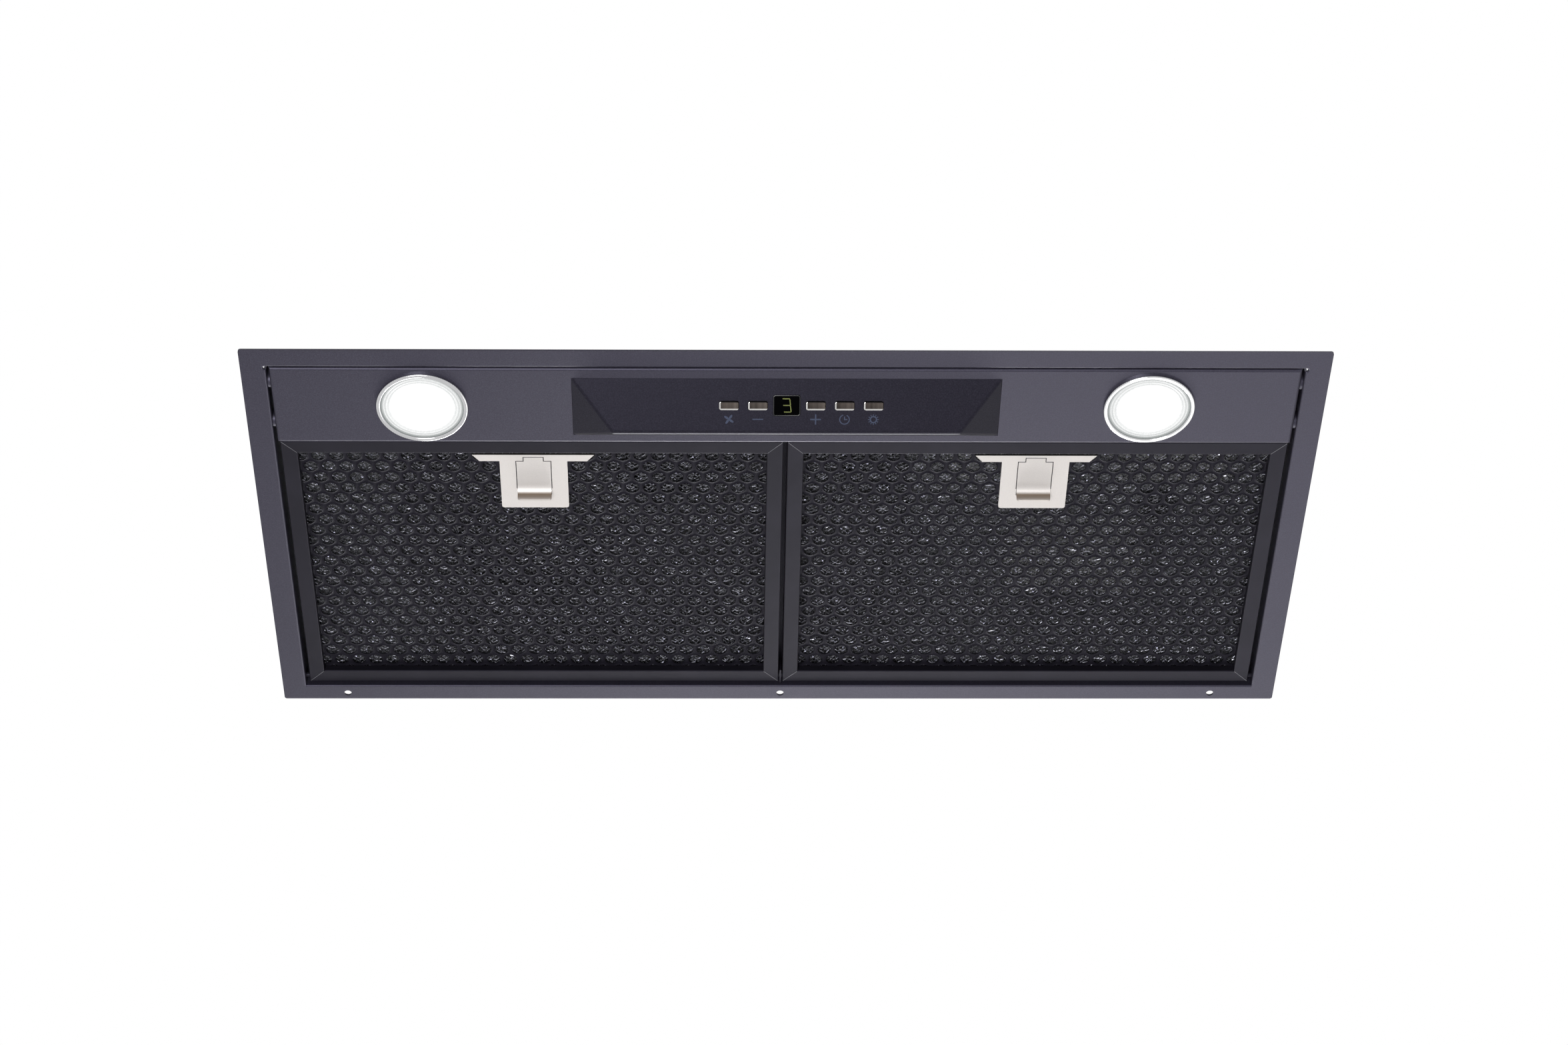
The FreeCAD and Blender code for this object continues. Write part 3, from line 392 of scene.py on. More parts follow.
# Paints
def flecked(name, gloss, shade, flecking, clouding, roughness, spread):
    """Dark paint with paler grains, softly clouded"""
    paint = settings().paint
    finish = Finish(name, Specular_IOR_Level=gloss, Specular_Tint=paint.sheen)
    grain = finish.grain(1500.0, 3.0, 0.6)
    flecks = finish.ramp(grain, (0.42, 0.0), (0.72, 1.0))
    paleness = flecks * flecking + finish.grain(9.0) * clouding
    finish.coat(paleness, tinted(paint.body, shade), tinted(paint.fleck, shade), roughness + grain * spread)
    finish.bump(grain, 0.10, distance=0.0003)
    return finish.done()


@shared
def speckled_paint():
    return flecked("speckled_paint", gloss=0.44, shade=1.0, flecking=0.55, clouding=0.1,
                   roughness=0.32, spread=0.16)


# Painted shade: a copy of the rim's paint whose colours are darkened to 0.62 of theirs
@shared
def housing_paint():
    return flecked("housing_paint", gloss=0.16, shade=0.62, flecking=0.6, clouding=0.0,
                   roughness=0.26, spread=0.10)


@shared
def sheet_black():
    """Black of the perforated sheets, with a trace of grease"""
    paint = settings().paint
    finish = Finish("sheet_black", Specular_IOR_Level=0.07, Specular_Tint=paint.sheen)
    grain = finish.grain(1400.0, 3.0, 0.6)
    grease = finish.grain(45.0, 4.0)
    finish.coat(grease, paint.black, tinted(paint.black, 1.4), 0.36 + grain * 0.16)
    finish.bump(grain, 0.10)
    return finish.done()


@shared
def satin_black():
    """Black of the filter frames, paler in patches of wear"""
    paint = settings().paint
    finish = Finish("satin_black", Specular_IOR_Level=0.14, Specular_Tint=paint.sheen)
    grain = finish.grain(1100.0, 3.0, 0.6)
    wear = finish.ramp(finish.grain(30.0, 4.0), (0.45, 0.0), (0.8, 0.7))
    finish.coat(wear, paint.black, tinted(paint.black, 2.0), 0.34 + grain * 0.14)
    finish.bump(grain, 0.08)
    return finish.done()


@shared
def printed_mark():
    ink = settings().control.mark
    finish = Finish("printed_mark", Specular_IOR_Level=0.12)
    grain = finish.grain(2200.0)
    finish.coat(grain, tinted(ink, 0.8), ink, 0.4 + grain * 0.1)
    return finish.done()


# Metals
def metal(name, dark, pale, roughness, scale, relief=0.0):
    finish = Finish(name, Metallic=1.0)
    grain = finish.grain(scale, 4.0, 0.6)
    finish.coat(grain, dark, pale, roughness + grain * 0.12)
    if relief:
        finish.bump(grain, relief)
    return finish.done()


@shared
def polished_chrome():
    return metal("polished_chrome", (0.50, 0.50, 0.51), (0.62, 0.62, 0.63), roughness=0.05, scale=60.0)


@shared
def plated_steel():
    return metal("plated_steel", (0.42, 0.42, 0.43), (0.60, 0.60, 0.61), roughness=0.26, scale=220.0,
                 relief=0.06)


# Painted shade: aluminium darkened to nearly black, as the back grid lies deep in the filter
@shared
def dull_aluminium():
    return metal("dull_aluminium", (0.020, 0.020, 0.022), (0.10, 0.10, 0.108), roughness=0.45, scale=500.0,
                 relief=0.1)


@shared
def cast_aluminium():
    return metal("cast_aluminium", (0.52, 0.53, 0.54), (0.72, 0.73, 0.74), roughness=0.38, scale=700.0,
                 relief=0.2)


@shared
def zinc_sheet():
    """Galvanised steel with ragged spangles"""
    raggedness = 0.004
    finish = Finish("zinc_sheet", Metallic=0.9)
    wander = finish.grain(160.0, 3.0, output="Color")
    ragged = finish.vectors("MULTIPLY_ADD", wander, (raggedness, raggedness, raggedness), finish.place)
    spangle = finish.node("ShaderNodeTexVoronoi", {"feature": "F1"}, {"Vector": ragged, "Scale": 120.0},
                          "Color")
    grey = finish.node("ShaderNodeRGBToBW", {}, {"Color": spangle})
    streak = finish.grain(24.0, 5.0)
    finish.coat(grey * 0.7 + streak * 0.3, (0.36, 0.37, 0.39), (0.52, 0.53, 0.54),
                0.42 + grey * 0.08 + streak * 0.10)
    finish.bump(grey, 0.03)
    return finish.done()


@shared
def blasted_steel():
    """Pale blasted steel, smoother where fingers touch the lip, with a painted dark brown reflection on the
    lower lip and a painted shadow along the front edge
    """
    stops_per_metre = 60.0
    finish = Finish("blasted_steel", Metallic=0.35)
    grain = finish.grain(1300.0, 4.0, 0.6)
    level = 0.5 + finish.axis("Z") * stops_per_metre
    # Painted reflection: the lower part of the lip turns dark brown, as a reflection of the dark room below
    painted_lip_reflection = finish.ramp(level, (0.30, 0.3), (0.40, 0.8), (0.50, 1.0), (0.58, 0.0))
    rubbed = finish.ramp(level, (0.60, 1.0), (0.67, 0.0))
    clean = finish.mix(grain, (0.57, 0.54, 0.52), (0.70, 0.665, 0.645))
    # The steel with its painted dark brown reflection blended in
    steel_with_lip_reflection = finish.mix(painted_lip_reflection, clean, (0.19, 0.14, 0.10))
    # Painted shadow: the plate's front edge is dark, standing for the shade in the gap to the frame
    painted_gap_shadow = finish.axis("Y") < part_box("latch_plate_left")[0].y + settings().latch.slot_line
    finish.coat(painted_gap_shadow, steel_with_lip_reflection, (0.020, 0.018, 0.017), 0.56 + grain * 0.16 - rubbed * 0.24)
    finish.bump(grain, 0.16)
    return finish.done()


@shared
def button_chrome():
    """Painted highlight on the left and lower edges and painted shade on the upper edge and the sides,
    round a darker brushed face painted paler towards the right and the front edge
    """
    control = settings().control
    middle = face_matrix("button_plus")
    centre = middle.translation
    frontward = middle.to_3x3().col[1]
    outward = middle.to_3x3().col[2]
    # The buttons stand at whole pitches from the middle of the row, the plus button at the first
    pitch = centre.x
    offsets = [vert.co - centre for vert in nodes["button_plus"].data.vertices]
    half = max(abs(offset.dot(frontward)) for offset in offsets if abs(offset.dot(outward)) < control.proud)
    finish = Finish("button_chrome", Metallic=1.0)
    across = finish.node("ShaderNodeMath", {"operation": "WRAP"},
                         {0: finish.axis("X"), 1: pitch / 2, 2: -pitch / 2})
    along = finish.along(frontward) - centre.dot(frontward)
    # The face inside the painted highlight strips on the left and lower edges
    face = (across > control.bright_edge - control.button_width / 2) * (along > control.bright_edge - half)
    # Painted shade along the upper edge
    upper = along > half - control.dark_edge
    # Painted shade on the sides below the face
    wall = finish.along(outward) < centre.dot(outward) - control.dark_edge / 2
    drawn = finish.node("ShaderNodeMapping", {}, {"Vector": finish.place, "Scale": (1.0, 0.04, 0.04)})
    brush = finish.grain(520.0, 3.0, place=drawn)
    # Painted light: the face turns paler towards the right and the front edge
    sweep = brush * 0.9 + across * 40.0 + along * 60.0
    shade = finish.mix(sweep, (0.012, 0.010, 0.009), (0.088, 0.074, 0.066))
    shade = finish.mix(upper, shade, (0.010, 0.009, 0.009))
    # Painted highlight on the edges, painted shade on the sides
    edge = finish.mix(wall, (0.58, 0.57, 0.56), (0.06, 0.06, 0.06))
    finish.coat(face, edge, shade, 0.10 + face * 0.18 + brush * 0.06)
    return finish.done()


@shared
def mesh_wire():
    """Wire with painted glints: its colour goes from nearly black to pale in random patches"""
    strand = settings().filters.strand
    finish = Finish("mesh_wire", Metallic=1.0)
    # Painted glints in random patches
    painted_glint = finish.ramp(finish.grain(800.0), (0.42, 0.0), (0.66, 1.0))
    finish.coat(painted_glint, tinted(strand, 0.04), strand, 0.48 - painted_glint * 0.14)
    return finish.done()


@shared
def cut_edge():
    """Pale grey of the painted highlight lines along the mitres"""
    finish = Finish("cut_edge", Metallic=0.6)
    grain = finish.grain(700.0, 3.0)
    finish.coat(grain, (0.07, 0.07, 0.08), (0.17, 0.17, 0.185), 0.4 + grain * 0.1)
    return finish.done()


# Plastics and glass
def moulded(name, dark, pale, roughness=0.42):
    finish = Finish(name, IOR=1.48)
    grain = finish.grain(900.0, 3.0, 0.6)
    cloud = finish.grain(14.0, 3.0)
    finish.coat(cloud * 0.7 + grain * 0.3, dark, pale, roughness + grain * 0.14)
    finish.bump(grain, 0.10)
    return finish.done()


@shared
def black_plastic():
    return moulded("black_plastic", (0.016, 0.016, 0.017), (0.034, 0.034, 0.036))


@shared
def grey_plastic():
    return moulded("grey_plastic", (0.26, 0.27, 0.28), (0.36, 0.37, 0.38))


@shared
def dark_plastic():
    return moulded("dark_plastic", (0.020, 0.020, 0.022), (0.042, 0.042, 0.046))


@shared
def white_plastic():
    return moulded("white_plastic", (0.62, 0.62, 0.60), (0.74, 0.74, 0.72))


@shared
def green_board():
    return moulded("green_board", (0.02, 0.11, 0.04), (0.04, 0.18, 0.07), roughness=0.25)


def glossy(name, gloss, scale, dark, pale, roughness, spread):
    finish = Finish(name, Specular_IOR_Level=gloss)
    haze = finish.grain(scale, 3.0)
    finish.coat(haze, dark, pale, roughness + haze * spread)
    return finish.done()


@shared
def display_black():
    return glossy("display_black", gloss=0.012, scale=160.0, dark=(0.0006, 0.0006, 0.0008),
                  pale=(0.0014, 0.0014, 0.0017), roughness=0.05, spread=0.06)


@shared
def gloss_black():
    return glossy("gloss_black", gloss=0.5, scale=300.0, dark=(0.004, 0.004, 0.005),
                  pale=(0.009, 0.009, 0.010), roughness=0.14, spread=0.08)


@shared
def lit_digit():
    digit = settings().control.digit
    finish = Finish("lit_digit", Roughness=0.4, Emission_Strength=0.16)
    spread = finish.grain(1800.0, 1.0)
    finish.feed("Base Color", finish.mix(spread, tinted(digit, 0.1), tinted(digit, 0.3)))
    finish.feed("Emission Color", finish.mix(spread, tinted(digit, 0.7), digit))
    return finish.done()


@shared
def lit_glass(side):
    """Glass that glows, with dimmer rings towards its rim"""
    lamp = settings().lamp
    low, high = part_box("lamp_lens_" + side)
    finish = Finish("lit_glass_" + side, Roughness=0.2, Specular_IOR_Level=0.15,
                    Emission_Strength=lamp.glow)
    offset = finish.vectors("SUBTRACT", finish.place, (low + high) / 2)
    flat = finish.vectors("MULTIPLY", offset, (1.0, 1.0, 0.0))
    away = finish.vectors("LENGTH", flat, output="Value") * (2.0 / (high.x - low.x))
    rings = ((0.80, 0.62), (0.83, 0.85), (0.87, 0.50), (0.90, 0.75), (0.93, 0.40), (0.97, 0.12))
    tint = finish.ramp(away, (0.0, 1.0), (lamp.clear, 1.0), *rings)
    beads = finish.ramp(finish.grain(1500.0), (0.40, 0.0), (0.60, 1.0))
    finish.feed("Base Color", finish.mix(tint, (0.03, 0.034, 0.033), (0.10, 0.105, 0.105)))
    light = tint * (0.86 + beads * 0.14)
    finish.feed("Emission Color", finish.mix(light, (0.10, 0.12, 0.115), (1.0, 1.0, 1.0)))
    return finish.done()


@shared
def pale_floor():
    """A matt floor that looks nearly white and still takes a shadow"""
    stage = settings().stage
    shadowless = 0.94
    finish = Finish("pale_floor", Roughness=0.9)
    tone = finish.mix(finish.grain(3.0), stage.floor_tone, tinted(stage.floor_tone, 1.03))
    finish.feed("Base Color", tone)
    white = finish.node("ShaderNodeEmission", {}, {"Color": (1.0, 1.0, 1.0), "Strength": stage.floor_white})
    factor = finish.backdrop_rays() * shadowless
    return finish.done(finish.node("ShaderNodeMixShader", {}, {0: factor, 1: finish.shader, 2: white}))


# Pieces
def linked(name, bm, finish):
    """Makes an object of a finished bmesh"""
    mesh = bpy.data.meshes.new(name)
    bm.to_mesh(mesh)
    bm.free()
    mesh.materials.append(finish)
    made = bpy.data.objects.new(name, mesh)
    bpy.context.scene.collection.objects.link(made)
    return made


def placed(name, bm, body, finish, replaced=(), crease=35.0):
    """Makes a piece that rides on a body and may stand for CAD nodes"""
    piece = linked(name, bm, finish)
    piece.data.shade_smooth()
    piece.data.set_sharp_from_angle(angle=math.radians(crease))
    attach(piece, body)
    if replaced:
        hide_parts(*replaced)
    return piece


def dress(finish, *names):
    """Gives CAD nodes a finish"""
    for name in names:
        for place in nodes[name].material_slots:
            place.material = finish


def all_of(bm):
    return bm.verts[:] + bm.edges[:] + bm.faces[:]


def verts_in(geom):
    return [item for item in geom if isinstance(item, bmesh.types.BMVert)]


def edges_among(bm, verts):
    """Edges that have both ends in a list"""
    ends = set(verts)
    return [edge for edge in bm.edges if ends.issuperset(edge.verts)]


def bevelled(bm, geom, offset, segments, affect="EDGES"):
    bmesh.ops.bevel(bm, geom=geom, offset=offset, offset_type="OFFSET", segments=segments, profile=0.5,
                    affect=affect, material=-1)


def spun(bm, profile, centre, steps):
    """Turns a profile of (radius, height) points about an upright axis"""
    points = [bm.verts.new((centre.x + reach, centre.y, centre.z + height)) for reach, height in profile]
    edges = [bm.edges.new(pair) for pair in zip(points, points[1:])]
    bmesh.ops.spin(bm, geom=points + edges, cent=centre, axis=upward, angle=2.0 * math.pi, steps=steps,
                   use_merge=True)
    bmesh.ops.remove_doubles(bm, verts=bm.verts, dist=weld_distance)
    bmesh.ops.recalc_face_normals(bm, faces=bm.faces)


def thicken(bm, gauge):
    """Turns flat faces into a slab that stands up along +Z"""
    grown = bmesh.ops.extrude_face_region(bm, geom=bm.faces[:])
    bmesh.ops.translate(bm, verts=verts_in(grown["geom"]), vec=upward * gauge)
    bmesh.ops.recalc_face_normals(bm, faces=bm.faces)


def bar(bm, centre, long, wide, turn=0.0, corner=0.0, segments=2):
    """A flat bar with square or rounded corners"""
    made = bmesh.ops.create_grid(bm, x_segments=1, y_segments=1, size=0.5)
    spin = Matrix.Rotation(turn, 4, "Z")
    place = Matrix.Translation(centre) @ spin @ Matrix.Diagonal((long, wide, 1.0, 1.0))
    bmesh.ops.transform(bm, matrix=place, verts=made["verts"])
    if corner:
        bevelled(bm, made["verts"], corner, segments, "VERTICES")


def spaced(first, last, number):
    """Evenly spaced values from first to last"""
    return [first + (last - first) * step / max(number - 1, 1) for step in range(number)]


def spoke(angle):
    return Vector((math.cos(angle), math.sin(angle), 0.0))


def arc_band(bm, inner, outer, start, sweep, steps):
    """A flat ring about the origin, or a stretch of one"""
    points = [bm.verts.new(spoke(start) * reach) for reach in (inner, outer)]
    edge = bm.edges.new(points)
    whole = sweep > math.radians(359.0)
    bmesh.ops.spin(bm, geom=points + [edge], cent=(0.0, 0.0, 0.0), axis=upward, angle=sweep, steps=steps,
                   use_merge=whole)


def ring(bm, long, wide, corner, width, rise):
    """A flat rectangular ring with rounded corners and softened upper edges"""
    bar(bm, Vector(), long, wide, corner=corner, segments=4)
    pane = bm.faces[:]
    bmesh.ops.inset_region(bm, faces=pane, thickness=width, use_boundary=True, use_even_offset=True)
    bmesh.ops.delete(bm, geom=pane, context="FACES")
    thicken(bm, rise)
    crest = [edge for edge in bm.edges if min(vert.co.z for vert in edge.verts) > rise / 2
             and abs(edge.calc_face_angle(0.0)) > 1.0]
    bevelled(bm, crest, width / 4, 2)


def clip(bm, low, high):
    """Cuts flat geometry off at a rectangle"""
    for point, outward in ((low, -rightward), (low, -rearward), (high, rightward), (high, rearward)):
        bmesh.ops.bisect_plane(bm, geom=all_of(bm), plane_co=point, plane_no=outward, clear_outer=True)


def repeated(bm, shifts):
    """Copies all there is by each shift and removes the pattern itself"""
    pattern = all_of(bm)
    for shift in shifts:
        copy = bmesh.ops.duplicate(bm, geom=pattern)
        bmesh.ops.translate(bm, verts=verts_in(copy["geom"]), vec=shift)
    bmesh.ops.delete(bm, geom=verts_in(pattern), context="VERTS")


# Filters
def perforated_sheet(side):
    """Sheet of round holes with drawn edges, each in a six-sided cell"""
    filters = settings().filters
    low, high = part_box("face_sheet_" + side)
    middle = (low + high) / 2
    radius = filters.hole / 2
    bm = bmesh.new()
    rim = bmesh.ops.create_circle(bm, segments=filters.hole_sides, radius=radius)
    foot = bmesh.ops.create_circle(bm, segments=filters.hole_sides, radius=radius + filters.flare_width)
    bmesh.ops.bridge_loops(bm, edges=bm.edges[:])
    cell = bmesh.ops.create_circle(bm, segments=6, radius=filters.pitch / math.sqrt(3.0))
    bmesh.ops.bridge_loops(bm, edges=edges_among(bm, foot["verts"]) + edges_among(bm, cell["verts"]))
    bmesh.ops.translate(bm, verts=rim["verts"], vec=upward * -filters.flare)
    even_row = filters.pitch * math.sqrt(3.0) / 2
    columns = math.ceil((high.x - low.x) / filters.pitch / 2) + 1
    rows = math.ceil((high.y - low.y) / filters.row / 4) + 1
    repeated(bm, [Vector(), Vector((filters.pitch / 2, even_row, 0.0))])
    repeated(bm, [rightward * column * filters.pitch for column in range(-columns, columns + 1)])
    repeated(bm, [rearward * 2 * row * even_row for row in range(-rows, rows + 1)])
    bmesh.ops.remove_doubles(bm, verts=bm.verts, dist=filters.hole / 200)
    bmesh.ops.recalc_face_normals(bm, faces=bm.faces)
    bmesh.ops.scale(bm, vec=(1.0, filters.row / even_row, 1.0), verts=bm.verts)
    bmesh.ops.translate(bm, verts=bm.verts, vec=(middle.x, middle.y, low.z))
    clip(bm, low, high)
    thicken(bm, high.z - low.z)
    placed("perforated_sheet_" + side, bm, "filter_" + side, sheet_black(),
           ["face_sheet_" + side], crease=50.0)


def net(low, high, cell, squash=1.0):
    """A flat net of square or diamond openings that covers a rectangle"""
    reach = (high.x - low.x + (high.y - low.y) / squash) / 2
    cells = math.ceil(2 * reach / math.sqrt(2.0) / cell)
    bm = bmesh.new()
    bmesh.ops.create_grid(bm, x_segments=cells, y_segments=cells, size=reach / math.sqrt(2.0))
    bmesh.ops.rotate(bm, verts=bm.verts, matrix=Matrix.Rotation(math.radians(45.0), 3, "Z"))
    bmesh.ops.scale(bm, vec=(1.0, squash, 1.0), verts=bm.verts)
    bmesh.ops.translate(bm, verts=bm.verts, vec=(low + high) / 2)
    return bm


def strands(bm, low, high, wire):
    """Turns the edges of a net into strands inside a box"""
    margin = Vector((wire, wire, 0.0))
    clip(bm, low + margin, high - margin)
    bmesh.ops.wireframe(bm, faces=bm.faces[:], thickness=wire, offset=0.0, use_replace=True,
                        use_boundary=True, use_even_offset=False)
    for vert in bm.verts:
        vert.co.z = min(max(vert.co.z, low.z), high.z)


def crinkled_mesh(side):
    """Wire mesh that wanders in long bends and short kinks, the same in each run"""
    filters = settings().filters
    bends_per_metre = 420.0
    kinks_per_metre = 1300.0
    kink_share = 0.8
    low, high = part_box("mesh_pad_" + side)
    bm = net(low, high, filters.cell)
    noise.seed_set(filters.crinkle_seed)
    for vert in bm.verts:
        kink = noise.noise_vector(vert.co * kinks_per_metre) * kink_share
        sway = noise.noise_vector(vert.co * bends_per_metre) + kink
        vert.co += sway * filters.crinkle
        vert.co.z = low.z + filters.wire + abs(sway.z) * filters.crinkle
    strands(bm, low, high, filters.wire)
    placed("crinkled_mesh_" + side, bm, "filter_" + side, mesh_wire(),
           ["mesh_pad_" + side])


def back_grid(side):
    """Expanded grid that holds the mesh from behind, darkened as painted shade of the filter's deeper
    layers
    """
    filters = settings().filters
    low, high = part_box("back_sheet_" + side)
    bm = net(low, high, filters.grid_cell, filters.grid_squash)
    strands(bm, low, high, filters.grid_wire)
    placed("back_grid_" + side, bm, "filter_" + side, dull_aluminium(),
           ["back_sheet_" + side])


def mitre_edges(side):
    """Painted highlight lines along the mitres of a filter frame, where the raised joints catch the light
    """
    filters = settings().filters
    # A little shorter than the diagonal of a rail's corner
    run = 1.3 * filters.rail
    low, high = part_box("filter_frame_" + side)
    middle = (low + high) / 2
    half = (high - low) / 2
    bm = bmesh.new()
    for way_x in (-1.0, 1.0):
        for way_y in (-1.0, 1.0):
            corner = Vector((way_x * (half.x - filters.rail / 2), way_y * (half.y - filters.rail / 2), 0.0))
            bar(bm, corner, run, filters.seam, math.radians(45.0) * way_x * way_y)
    thicken(bm, 1.5 * filters.seam)
    bmesh.ops.translate(bm, verts=bm.verts, vec=(middle.x, middle.y, low.z - filters.seam / 4))
    placed("mitre_edges_" + side, bm, "filter_" + side, cut_edge())


# Latches
def slot_edges(side):
    """Painted shadow round the slot of a latch plate: dark strips standing for the shade in the slot's gap
    """
    latch = settings().latch
    low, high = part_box("latch_plate_" + side)
    line = latch.slot_line
    slot = latch.slot_width / 2
    tab = latch.tab_width / 2
    bm = bmesh.new()
    for way in (-1.0, 1.0):
        flank = Vector((way * (slot + line / 2), latch.slot_length / 2, 0.0))
        shoulder = Vector((way * (slot + tab + line) / 2, -line / 2, 0.0))
        notch = Vector((way * (tab + line / 2), -(latch.tab_length + line) / 2, 0.0))
        bar(bm, flank, line, latch.slot_length)
        bar(bm, shoulder, slot - tab + line, line)
        bar(bm, notch, line, latch.tab_length - line)
    bar(bm, Vector((0.0, -latch.tab_length - line / 2, 0.0)), 2 * (tab + line), line)
    thicken(bm, 2 * latch.slot_relief)
    place = ((low.x + high.x) / 2, low.y + latch.slot_setback, low.z - latch.slot_relief)
    bmesh.ops.translate(bm, verts=bm.verts, vec=place)
    placed("slot_edges_" + side, bm, "filter_" + side, satin_black())


def folded_spring(side):
    """A latch's folded spring, with its folds rounded"""
    node = "latch_spring_" + side
    low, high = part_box(node)
    tall = (high.z - low.z) / 2
    bm = bmesh.new()
    bm.from_mesh(nodes[node].data)
    bmesh.ops.remove_doubles(bm, verts=bm.verts, dist=weld_distance)
    bmesh.ops.dissolve_limit(bm, angle_limit=math.radians(1.0), verts=bm.verts, edges=bm.edges)
    folds = [edge for edge in bm.edges if abs(edge.verts[0].co.z - edge.verts[1].co.z) > tall]
    bevelled(bm, folds, settings().latch.spring_bend, 2)
    spring = placed("folded_spring_" + side, bm, "filter_" + side, plated_steel(), [node])
    slide = joint_named("latch_%s_slide" % side)
    keep = 1.0 - slide["range_m"][1] / (high.y - low.y)
    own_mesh(spring)


# Controls, whose symbols are drawn in shares of their size
def fan_mark(bm, size):
    """Four leaf-shaped blades"""
    lean = Matrix.Translation((0.26 * size, 0.07 * size, 0.0)) @ Matrix.Rotation(math.radians(14.0), 4, "Z")
    blade = lean @ Matrix.Diagonal((0.52 * size, 0.22 * size, 1.0, 1.0))
    for quarter in range(4):
        made = bmesh.ops.create_circle(bm, cap_ends=True, segments=16, radius=0.5)
        turn = Matrix.Rotation(math.radians(40.0 + 90.0 * quarter), 4, "Z")
        bmesh.ops.transform(bm, matrix=turn @ blade, verts=made["verts"])


def minus_mark(bm, size):
    bar(bm, Vector(), size, 0.11 * size)


def plus_mark(bm, size):
    line = 0.13 * size
    bar(bm, Vector(), size, line)
    for way in (-1.0, 1.0):
        bar(bm, Vector((0.0, way * (size + line) / 4, 0.0)), line, (size - line) / 2)


def timer_mark(bm, size):
    """An open ring with two hands"""
    line = 0.10 * size
    arc_band(bm, size / 2 - line, size / 2, math.radians(105.0), math.radians(320.0), 32)
    bar(bm, Vector((0.0, 0.12 * size, 0.0)), line, 0.34 * size)
    bar(bm, Vector((0.16 * size, 0.0, 0.0)), 0.22 * size, line)


def light_mark(bm, size):
    """A ring with twelve rays"""
    arc_band(bm, 0.23 * size, 0.36 * size, 0.0, math.radians(360.0), 24)
    for ray in range(12):
        angle = math.radians(30.0 * ray)
        bar(bm, spoke(angle) * 0.45 * size, 0.13 * size, 0.08 * size, angle)


def control_marks():
    """Printed symbols below the buttons, as one piece"""
    control = settings().control
    makers = (fan_mark, minus_mark, plus_mark, timer_mark, light_mark)
    bm = bmesh.new()
    for name, maker in zip(button_names, makers):
        mark = bmesh.new()
        maker(mark, control.mark_size)
        thicken(mark, control.print_gauge)
        drop = Matrix.Translation((0.0, -control.mark_drop, -control.proud))
        bmesh.ops.transform(mark, matrix=face_matrix("button_" + name) @ drop, verts=mark.verts)
        step = bpy.data.meshes.new("mark_step")
        mark.to_mesh(step)
        mark.free()
        bm.from_mesh(step)
        bpy.data.meshes.remove(step)
    placed("control_marks", bm, "hood", printed_mark())


def display_digit():
    """The five lit segments of a three"""
    control = settings().control
    line = control.segment
    corner = 0.35 * line
    gap = 0.18 * line
    wide = control.digit_width - line
    half = (control.digit_height - line) / 2
    bm = bmesh.new()
    for level in (-half, 0.0, half):
        bar(bm, Vector((0.0, level, 0.0)), wide - gap, line, corner=corner)
    for level in (-half / 2, half / 2):
        bar(bm, Vector((wide / 2, level, 0.0)), line, half - gap, corner=corner)
    for vert in bm.verts:
        vert.co.x -= control.digit_slant * vert.co.y
    thicken(bm, control.print_gauge)
    bmesh.ops.transform(bm, matrix=face_matrix("display_window"), verts=bm.verts)
    placed("display_digit", bm, "hood", lit_digit())


def display_surround():
    """Raised rim round the display"""
    control = settings().control
    bm = bmesh.new()
    ring(bm, control.window_width, control.window_height, control.window_corner, control.surround,
         control.surround_rise)
    bmesh.ops.transform(bm, matrix=face_matrix("display_window"), verts=bm.verts)
    placed("display_surround", bm, "hood", gloss_black())


# Lamps
def ridged_lens(side):
    """A domed lens with moulded rings near its rim"""
    lamp = settings().lamp
    low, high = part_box("lamp_lens_" + side)
    centre = Vector(((low.x + high.x) / 2, (low.y + high.y) / 2, 0.0))
    radius = (high.x - low.x) / 2
    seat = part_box("lamp_bezel_" + side)[0].z + lamp.seat
    dome_steps = 8

    def dome(reach):
        return low.z + (seat - low.z) * (reach / radius) ** 2

    clear = radius * lamp.clear
    profile = [(reach, dome(reach)) for reach in spaced(0.0, clear, dome_steps + 1)]
    width = (radius * lamp.ridged - clear) / lamp.ridges
    for ridge in range(lamp.ridges):
        start = clear + ridge * width
        profile.append((start + 0.15 * width, dome(start) + lamp.ridge_depth))
        profile.append((start + 0.85 * width, dome(start)))
    profile += [(radius * lamp.ridged, seat), (radius, seat), (radius, high.z), (0.0, high.z)]
    bm = bmesh.new()
    spun(bm, profile, centre, 72)
    placed("ridged_lens_" + side, bm, "hood", lit_glass(side), ["lamp_lens_" + side],
           crease=60.0)


# Casing fasteners
def rivet_row(name, places, outward):
    """Domed rivet heads at the given places"""
    radius = settings().casing.rivet
    # Reach and height of the head's outline in shares of its radius
    outline = ((0.0, 0.42), (0.45, 0.38), (0.8, 0.22), (1.0, 0.0))
    bm = bmesh.new()
    spun(bm, [(reach * radius, height * radius) for reach, height in outline], Vector(), 14)
    turn = upward.rotation_difference(outward).to_matrix().to_4x4()
    bmesh.ops.transform(bm, matrix=turn, verts=bm.verts)
    repeated(bm, places)
    placed(name, bm, "hood", plated_steel())


def casing_rivets():
    casing = settings().casing
    low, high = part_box("plenum_wrapper")
    ends = (low.x + casing.edge, high.x - casing.edge)
    depths = spaced(casing.deck_front, casing.deck_rear, casing.deck_rivets)
    rivet_row("deck_rivets", [Vector((x, y, high.z)) for x in ends for y in depths], upward)
    stations = spaced(-casing.skirt_reach, casing.skirt_reach, casing.skirt_rivets)
    rivet_row("skirt_rivets", [Vector((x, low.y, casing.skirt_level)) for x in stations], -rearward)


